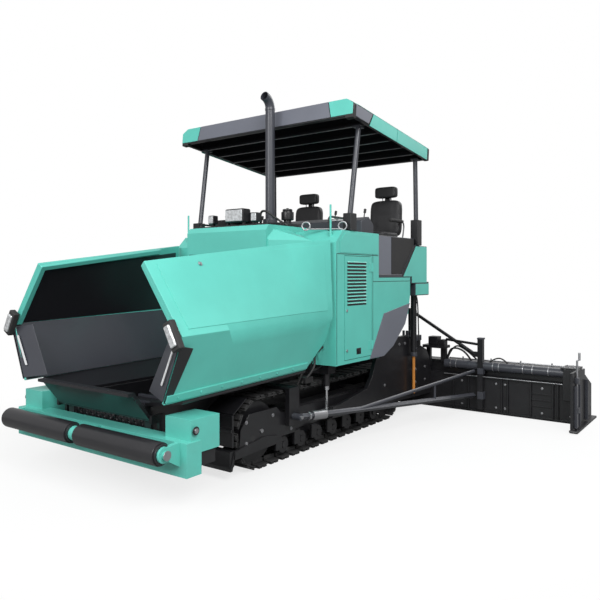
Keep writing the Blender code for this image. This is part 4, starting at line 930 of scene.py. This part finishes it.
def cushion(name, x, y, z, lean=0.0, seams=()):
    """A crowned pad: foam stands up in the middle, sides pull in between the corners, seams are sewn in."""
    deselect()
    size = Vector([hi - lo for lo, hi in (x, y, z)])
    middle = Vector([(lo + hi) / 2 for lo, hi in (x, y, z)])
    bpy.ops.mesh.primitive_cube_add(size=1)
    pad = new_piece(name)
    bpy.ops.object.mode_set(mode="EDIT")
    bpy.ops.mesh.select_all(action="SELECT")
    bpy.ops.mesh.subdivide(number_cuts=11)
    bpy.ops.object.mode_set(mode="OBJECT")
    turn = Matrix.Rotation(lean, 3, "X")
    for vertex in pad.data.vertices:
        u = vertex.co * 2
        crown = [(1 - abs(u[a]) ** 4) * (1 - abs(u[b]) ** 4) for a, b in ((1, 2), (0, 2), (0, 1))]
        round_off = 1 - 0.045 * sum(abs(u[a]) ** 8 * abs(u[b]) ** 8 for a, b in ((0, 1), (1, 2), (0, 2)))
        swell = Vector([0.93 + 0.07 * part for part in crown])
        sewn = 1.0
        for axis, place in seams:
            sewn = min(sewn, 1 - 0.12 * max(0, 1 - abs(u[axis] - place) / 0.10))
        vertex.co = Vector([u[k] / 2 * size[k] * swell[k] * round_off * (sewn if k == 1 + (size.y > size.z) else 1)
                            for k in range(3)])
        vertex.co = turn @ vertex.co + middle
    soft = pad.modifiers.new("soft", "SUBSURF")
    soft.levels = soft.render_levels = 1
    apply_all(pad)
    bpy.ops.object.shade_smooth()
    return pad


for side, sign in SIDES:
    dressed(f"seat_base_{side}", BLACK, width=0.006)
    x = sign * 0.66
    pads = [
        cushion(f"seat_cushion_{side}", (x - 0.245, x + 0.245), [v + ROLLER_Y for v in (3.955, 4.43)], (2.335, 2.475), 0,
                ((0, -0.62), (0, 0.62))),
        cushion(f"seat_back_{side}", (x - 0.235, x + 0.235), [v + ROLLER_Y for v in (4.42, 4.535)], (2.42, 2.93), radians(-3),
                ((0, -0.62), (0, 0.62), (2, 0.2))),
        cushion(f"seat_headrest_{side}", (x - 0.165, x + 0.165), [v + ROLLER_Y for v in (4.435, 4.535)], (2.965, 3.12)),
    ]
    pads[0].data.materials.clear()
    for pad in pads:
        fit(pad, "chassis", VINYL)
        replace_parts(pad, f"seat_pad_{side}")
    arms = [block("arm", (x + cheek * 0.265 - 0.025, x + cheek * 0.265 + 0.025), [v + ROLLER_Y for v in (4.10, 4.44)],
                  (2.60, 2.645), 0.018, 3) for cheek in (1, -1)]
    fit(together(f"seat_arms_{side}", arms), "chassis", RUBBER)
    posts = [bar("post", at(x + cheek * 0.06, 4.49, 2.88), at(x + cheek * 0.06, 4.49, 3.00), 0.007, 0.001, 16)
             for cheek in (1, -1)]
    posts += [bar("hinge", at(x + cheek * 0.23, 4.44, 2.622), at(x + cheek * 0.285, 4.44, 2.622), 0.020, 0.003, 20)
              for cheek in (1, -1)]
    posts += [hose("rail", [at(x + cheek * 0.27, 4.44, 2.62), at(x + cheek * 0.27, 4.49, 2.60), at(x + cheek * 0.26, 4.50, 2.50),
                            at(x + cheek * 0.24, 4.50, 2.38)], 0.010) for cheek in (1, -1)]
    fit(together(f"seat_fittings_{side}", posts), "chassis", STEEL)

# ---------------------------------------------------------------- frame and tow gear
# Welded box frame, with the tow arms that pull the screed, their chrome rods and the orange lift rods.
dressed("main_frame", BLACK, width=0.006)
for side, sign in SIDES:
    dressed(f"tow_arm_{side}", BLACK, width=0.004)
    dressed(f"tow_cylinder_{side}", CHROME, width=0.002)
    fit(bar(f"tow_sleeve_{side}", at(sign * 0.985, 2.49, 0.66), at(sign * 0.985, 2.49, 0.797), 0.038, 0.004, 32), "chassis", BLACK)
    dressed(f"lift_barrel_{side}", BLACK, width=0.003)
    dressed(f"lift_rod_{side}", ORANGE, width=0.002)
    lift = at(sign * 1.105, 4.43, 0)
    fit(together(f"lift_gland_{side}", [
        bar("gland", (lift[0], lift[1], 0.797), (lift[0], lift[1], 0.85), 0.046, 0.006, 32),
        bar("port", (lift[0], lift[1], 0.90), (lift[0] + sign * 0.055, lift[1], 0.90), 0.012, 0.002, 12),
        bar("port", (lift[0], lift[1], 1.52), (lift[0] + sign * 0.055, lift[1], 1.52), 0.012, 0.002, 12)]),
        body_of(f"lift_barrel_{side}"), CHARCOAL)
    fit(hose(f"lift_hose_{side}", [(lift[0] + sign * 0.05, lift[1], 0.90), (lift[0] + sign * 0.09, lift[1], 0.91),
                                   (lift[0] + sign * 0.085, lift[1] - 0.03, 1.10), (lift[0] + sign * 0.08, lift[1] - 0.03, 1.45),
                                   (lift[0] + sign * 0.05, lift[1] - 0.02, 1.66), (lift[0] - sign * 0.02, lift[1] - 0.05, 1.70)], 0.009),
        body_of(f"lift_barrel_{side}"), HOSE)
    fit(bolts(f"arm_bolts_{side}", [at(sign * 1.05, station, height) for station, height in
                                    ((4.12, 0.98), (4.28, 0.98), (4.60, 0.60), (4.60, 0.42), (4.90, 0.60), (4.90, 0.42), (3.72, 0.50))],
              (sign, 0, 0), 0.014, 0.012), body_of(f"tow_arm_{side}"), STEEL)
    fit(together(f"valve_stack_{side}", [
        block("manifold", (min(sign * 0.84, sign * 1.03), max(sign * 0.84, sign * 1.03)), (4.52 + ROLLER_Y, 4.84 + ROLLER_Y), (0.975, 1.05), 0.006),
        *[bar("coil", at(sign * (0.87 + 0.05 * k), 4.60, 1.045), at(sign * (0.87 + 0.05 * k), 4.60, 1.12), 0.018, 0.004, 20) for k in range(3)],
        *[bar("coil", at(sign * (0.87 + 0.05 * k), 4.75, 1.045), at(sign * (0.87 + 0.05 * k), 4.75, 1.10), 0.016, 0.004, 20) for k in range(3)],
    ]), body_of(f"tow_arm_{side}"), CHARCOAL)

# ---------------------------------------------------------------- augers
# Cast flights on a turning shaft, hung from a chain case, that spread the asphalt across the screed.
dressed("auger_gearbox", BLACK)
for side, sign in SIDES:
    dressed(f"auger_{side}", STEEL, width=0.002)

# ---------------------------------------------------------------- screed
# Box-section screed with bolted-on extensions: stiffening ribs, a top tube in clamps, walkways and end gates.
dressed("screed_main", BLACK, width=0.006)
FRONT = 5.10
for side, sign in SIDES:
    span = lambda near, far: (min(sign * near, sign * far), max(sign * near, sign * far))
    dressed(f"screed_extension_{side}", BLACK, width=0.006)
    dressed(f"screed_stay_{side}", BLACK, width=0.003)
    dressed(f"end_gate_{side}", BLACK, width=0.004)
    dressed(f"screed_brace_{side}", CHARCOAL, width=0.004)
    body = body_of(f"screed_extension_{side}")
    fit(together(f"screed_tube_{side}", [
        bar("tube", at(sign * 1.27, 5.105, 0.645), at(sign * 2.87, 5.105, 0.645), 0.058, 0.004, 32),
        *[bar("collar", at(sign * x, 5.105, 0.645), at(sign * (x + 0.05), 5.105, 0.645), 0.063, 0.004, 32)
          for x in (1.60, 2.20)]]), body, CHARCOAL)
    fit(together(f"tube_clamps_{side}", [
        bar("clamp", at(sign * x, 5.105, 0.645), at(sign * (x + 0.010), 5.105, 0.645), 0.062, 0.001, 32)
        for x in (1.36, 1.44, 1.96, 2.04, 2.36, 2.48, 2.68)]), body, STEEL)
    fit(together(f"screed_shelf_{side}", [
        block("shelf", span(0.98, 1.32), (4.97 + ROLLER_Y, 5.16 + ROLLER_Y), (0.86, 0.90), 0.004),
        block("block", span(1.06, 1.20), (4.99 + ROLLER_Y, 5.13 + ROLLER_Y), (0.90, 1.02), 0.008),
        block("block", span(1.22, 1.30), (5.00 + ROLLER_Y, 5.12 + ROLLER_Y), (0.90, 0.98), 0.008),
        block("strut", span(1.20, 1.28), (5.10 + ROLLER_Y, 5.16 + ROLLER_Y), (0.66, 0.87), 0.004),
        block("strut", span(1.00, 1.06), (5.06 + ROLLER_Y, 5.12 + ROLLER_Y), (0.60, 0.87), 0.004),
        bar("link", at(sign * 1.28, 5.11, 0.98), at(sign * 1.79, 5.06, 0.94), 0.018, 0.003, 20)]), body, BLACK)
    ribs = [block("rib", span(x - 0.010, x + 0.010), (FRONT - 0.026 + ROLLER_Y, FRONT + 0.004 + ROLLER_Y), (0.04, 0.49), 0.003, 1)
            for x in (1.40, 1.62, 2.08, 2.16, 2.46, 2.74, 2.80)]
    ribs += [block("flange", span(1.26, 3.03), (FRONT - 0.030 + ROLLER_Y, FRONT + 0.004 + ROLLER_Y), (z, z + 0.014), 0.002, 1)
             for z in (0.030, 0.486)]
    ribs += [block("rung", span(2.46, 2.74), (FRONT - 0.016 + ROLLER_Y, FRONT + 0.004 + ROLLER_Y), (z, z + 0.010), 0.002, 1)
             for z in (0.18, 0.26, 0.34)]
    ribs += [block("end_box", span(2.86, 3.04), (FRONT - 0.05 + ROLLER_Y, FRONT + 0.20 + ROLLER_Y), (0.30, 0.70), 0.008),
             block("end_lid", span(2.84, 3.045), (FRONT - 0.06 + ROLLER_Y, FRONT + 0.22 + ROLLER_Y), (0.70, 0.72), 0.004)]
    fit(together(f"screed_ribs_{side}", ribs), body, BLACK)
    fit(together(f"screed_rails_{side}", [
        bar("rail", at(sign * 1.27, FRONT - 0.034, 0.505), at(sign * 2.86, FRONT - 0.034, 0.505), 0.006, 0.001, 12),
        bar("rail", at(sign * 1.30, 5.19, 0.715), at(sign * 2.84, 5.19, 0.715), 0.009, 0.001, 12),
        *[bar("stud", at(sign * x, 5.19, 0.66), at(sign * x, 5.19, 0.745), 0.010, 0.002, 12) for x in (1.5, 1.9, 2.3, 2.7)]]),
        body, STEEL)
    fit(bolts(f"screed_bolts_{side}", [at(sign * x, FRONT - 0.001, z) for x in (1.52, 2.00, 2.12, 2.60, 2.95)
                                       for z in (0.10, 0.42)], (0, -1, 0), 0.010, 0.008), body, STEEL)
    fit(bolts(f"lid_bolts_{side}", [at(sign * x, FRONT + y, 0.72) for x in (2.88, 2.94, 3.00) for y in (-0.02, 0.16)], (0, 0, 1),
              0.012, 0.012), body, STEEL)
    fit(together(f"stay_post_cap_{side}", [
        block("cap", span(1.760, 1.845), (5.025 + ROLLER_Y, 5.11 + ROLLER_Y), (1.012, 1.035), 0.004),
        block("shoe", span(1.766, 1.85), (5.015 + ROLLER_Y, 5.11 + ROLLER_Y), (0.20, 0.30), 0.006),
        block("clasp", span(1.766, 1.845), (5.018 + ROLLER_Y, 5.11 + ROLLER_Y), (0.54, 0.62), 0.006)]), body, CHARCOAL)
    fit(together(f"screed_hoses_{side}", [
        hose("hose", [at(sign * 1.28, 5.16, 0.68), at(sign * 1.32, 5.10, 0.84), at(sign * 1.46, 5.08, 0.88), at(sign * 1.60, 5.10, 0.80),
                      at(sign * 1.66, 5.13, 0.67)], 0.013),
        hose("hose", [at(sign * 1.26, 5.20, 0.68), at(sign * 1.36, 5.16, 0.92), at(sign * 1.58, 5.10, 0.86), at(sign * 1.74, 5.06, 0.74)], 0.011),
        hose("hose", [at(sign * 1.86, 5.12, 0.66), at(sign * 1.96, 5.12, 0.76), at(sign * 2.10, 5.12, 0.77), at(sign * 2.18, 5.13, 0.66)], 0.010)]),
        body, HOSE)
    treads = [block("tread", span(1.30 + 0.075 * k, 1.312 + 0.075 * k), (5.64 + ROLLER_Y, 5.98 + ROLLER_Y), (0.338, 0.348), 0.002, 1)
              for k in range(22)]
    fit(together(f"walkway_treads_{side}", treads), body, CHARCOAL)
    gate = body_of(f"end_gate_{side}")
    crank = [bar("spindle", at(sign * 3.095, 4.78, 0.05), at(sign * 3.095, 4.78, 0.86), 0.012, 0.002, 16),
             bar("arm", at(sign * 3.095, 4.78, 0.855), at(sign * 3.095, 4.90, 0.855), 0.009, 0.002, 12),
             bar("grip", at(sign * 3.095, 4.90, 0.845), at(sign * 3.095, 4.90, 0.94), 0.014, 0.004, 16)]
    fit(together(f"gate_crank_{side}", crank), gate, STEEL)
    fit(together(f"gate_ribs_{side}", [
        block("rib", span(3.079, 3.115), (y + ROLLER_Y, y + 0.02 + ROLLER_Y), (0.05, 0.56), 0.003, 1) for y in (4.70, 4.86, 5.28)] + [
        block("nut", span(3.079, 3.12), (4.74 + ROLLER_Y, 4.82 + ROLLER_Y), (z, z + 0.07), 0.006) for z in (0.22, 0.58)]),
        gate, CHARCOAL)
    # Turnbuckle at the brace's front end: bright sleeve, threaded rod and fork
    eye = Vector(at(sign * 1.10, 1.82, 0.45))
    run = Vector(at(sign * 1.72, 5.018, 0.25)) - eye
    brace = body_of(f"screed_brace_{side}")
    fit(together(f"turnbuckle_{side}", [
        bar("sleeve", eye + run * 0.055, eye + run * 0.115, 0.048, 0.004, 32),
        bar("lock_nut", eye + run * 0.038, eye + run * 0.046, 0.044, 0.003, 6),
        bar("pin", eye - Vector((sign * 0.075, 0, 0)), eye + Vector((sign * 0.045, 0, 0)), 0.020, 0.003, 24)]), brace, STEEL)
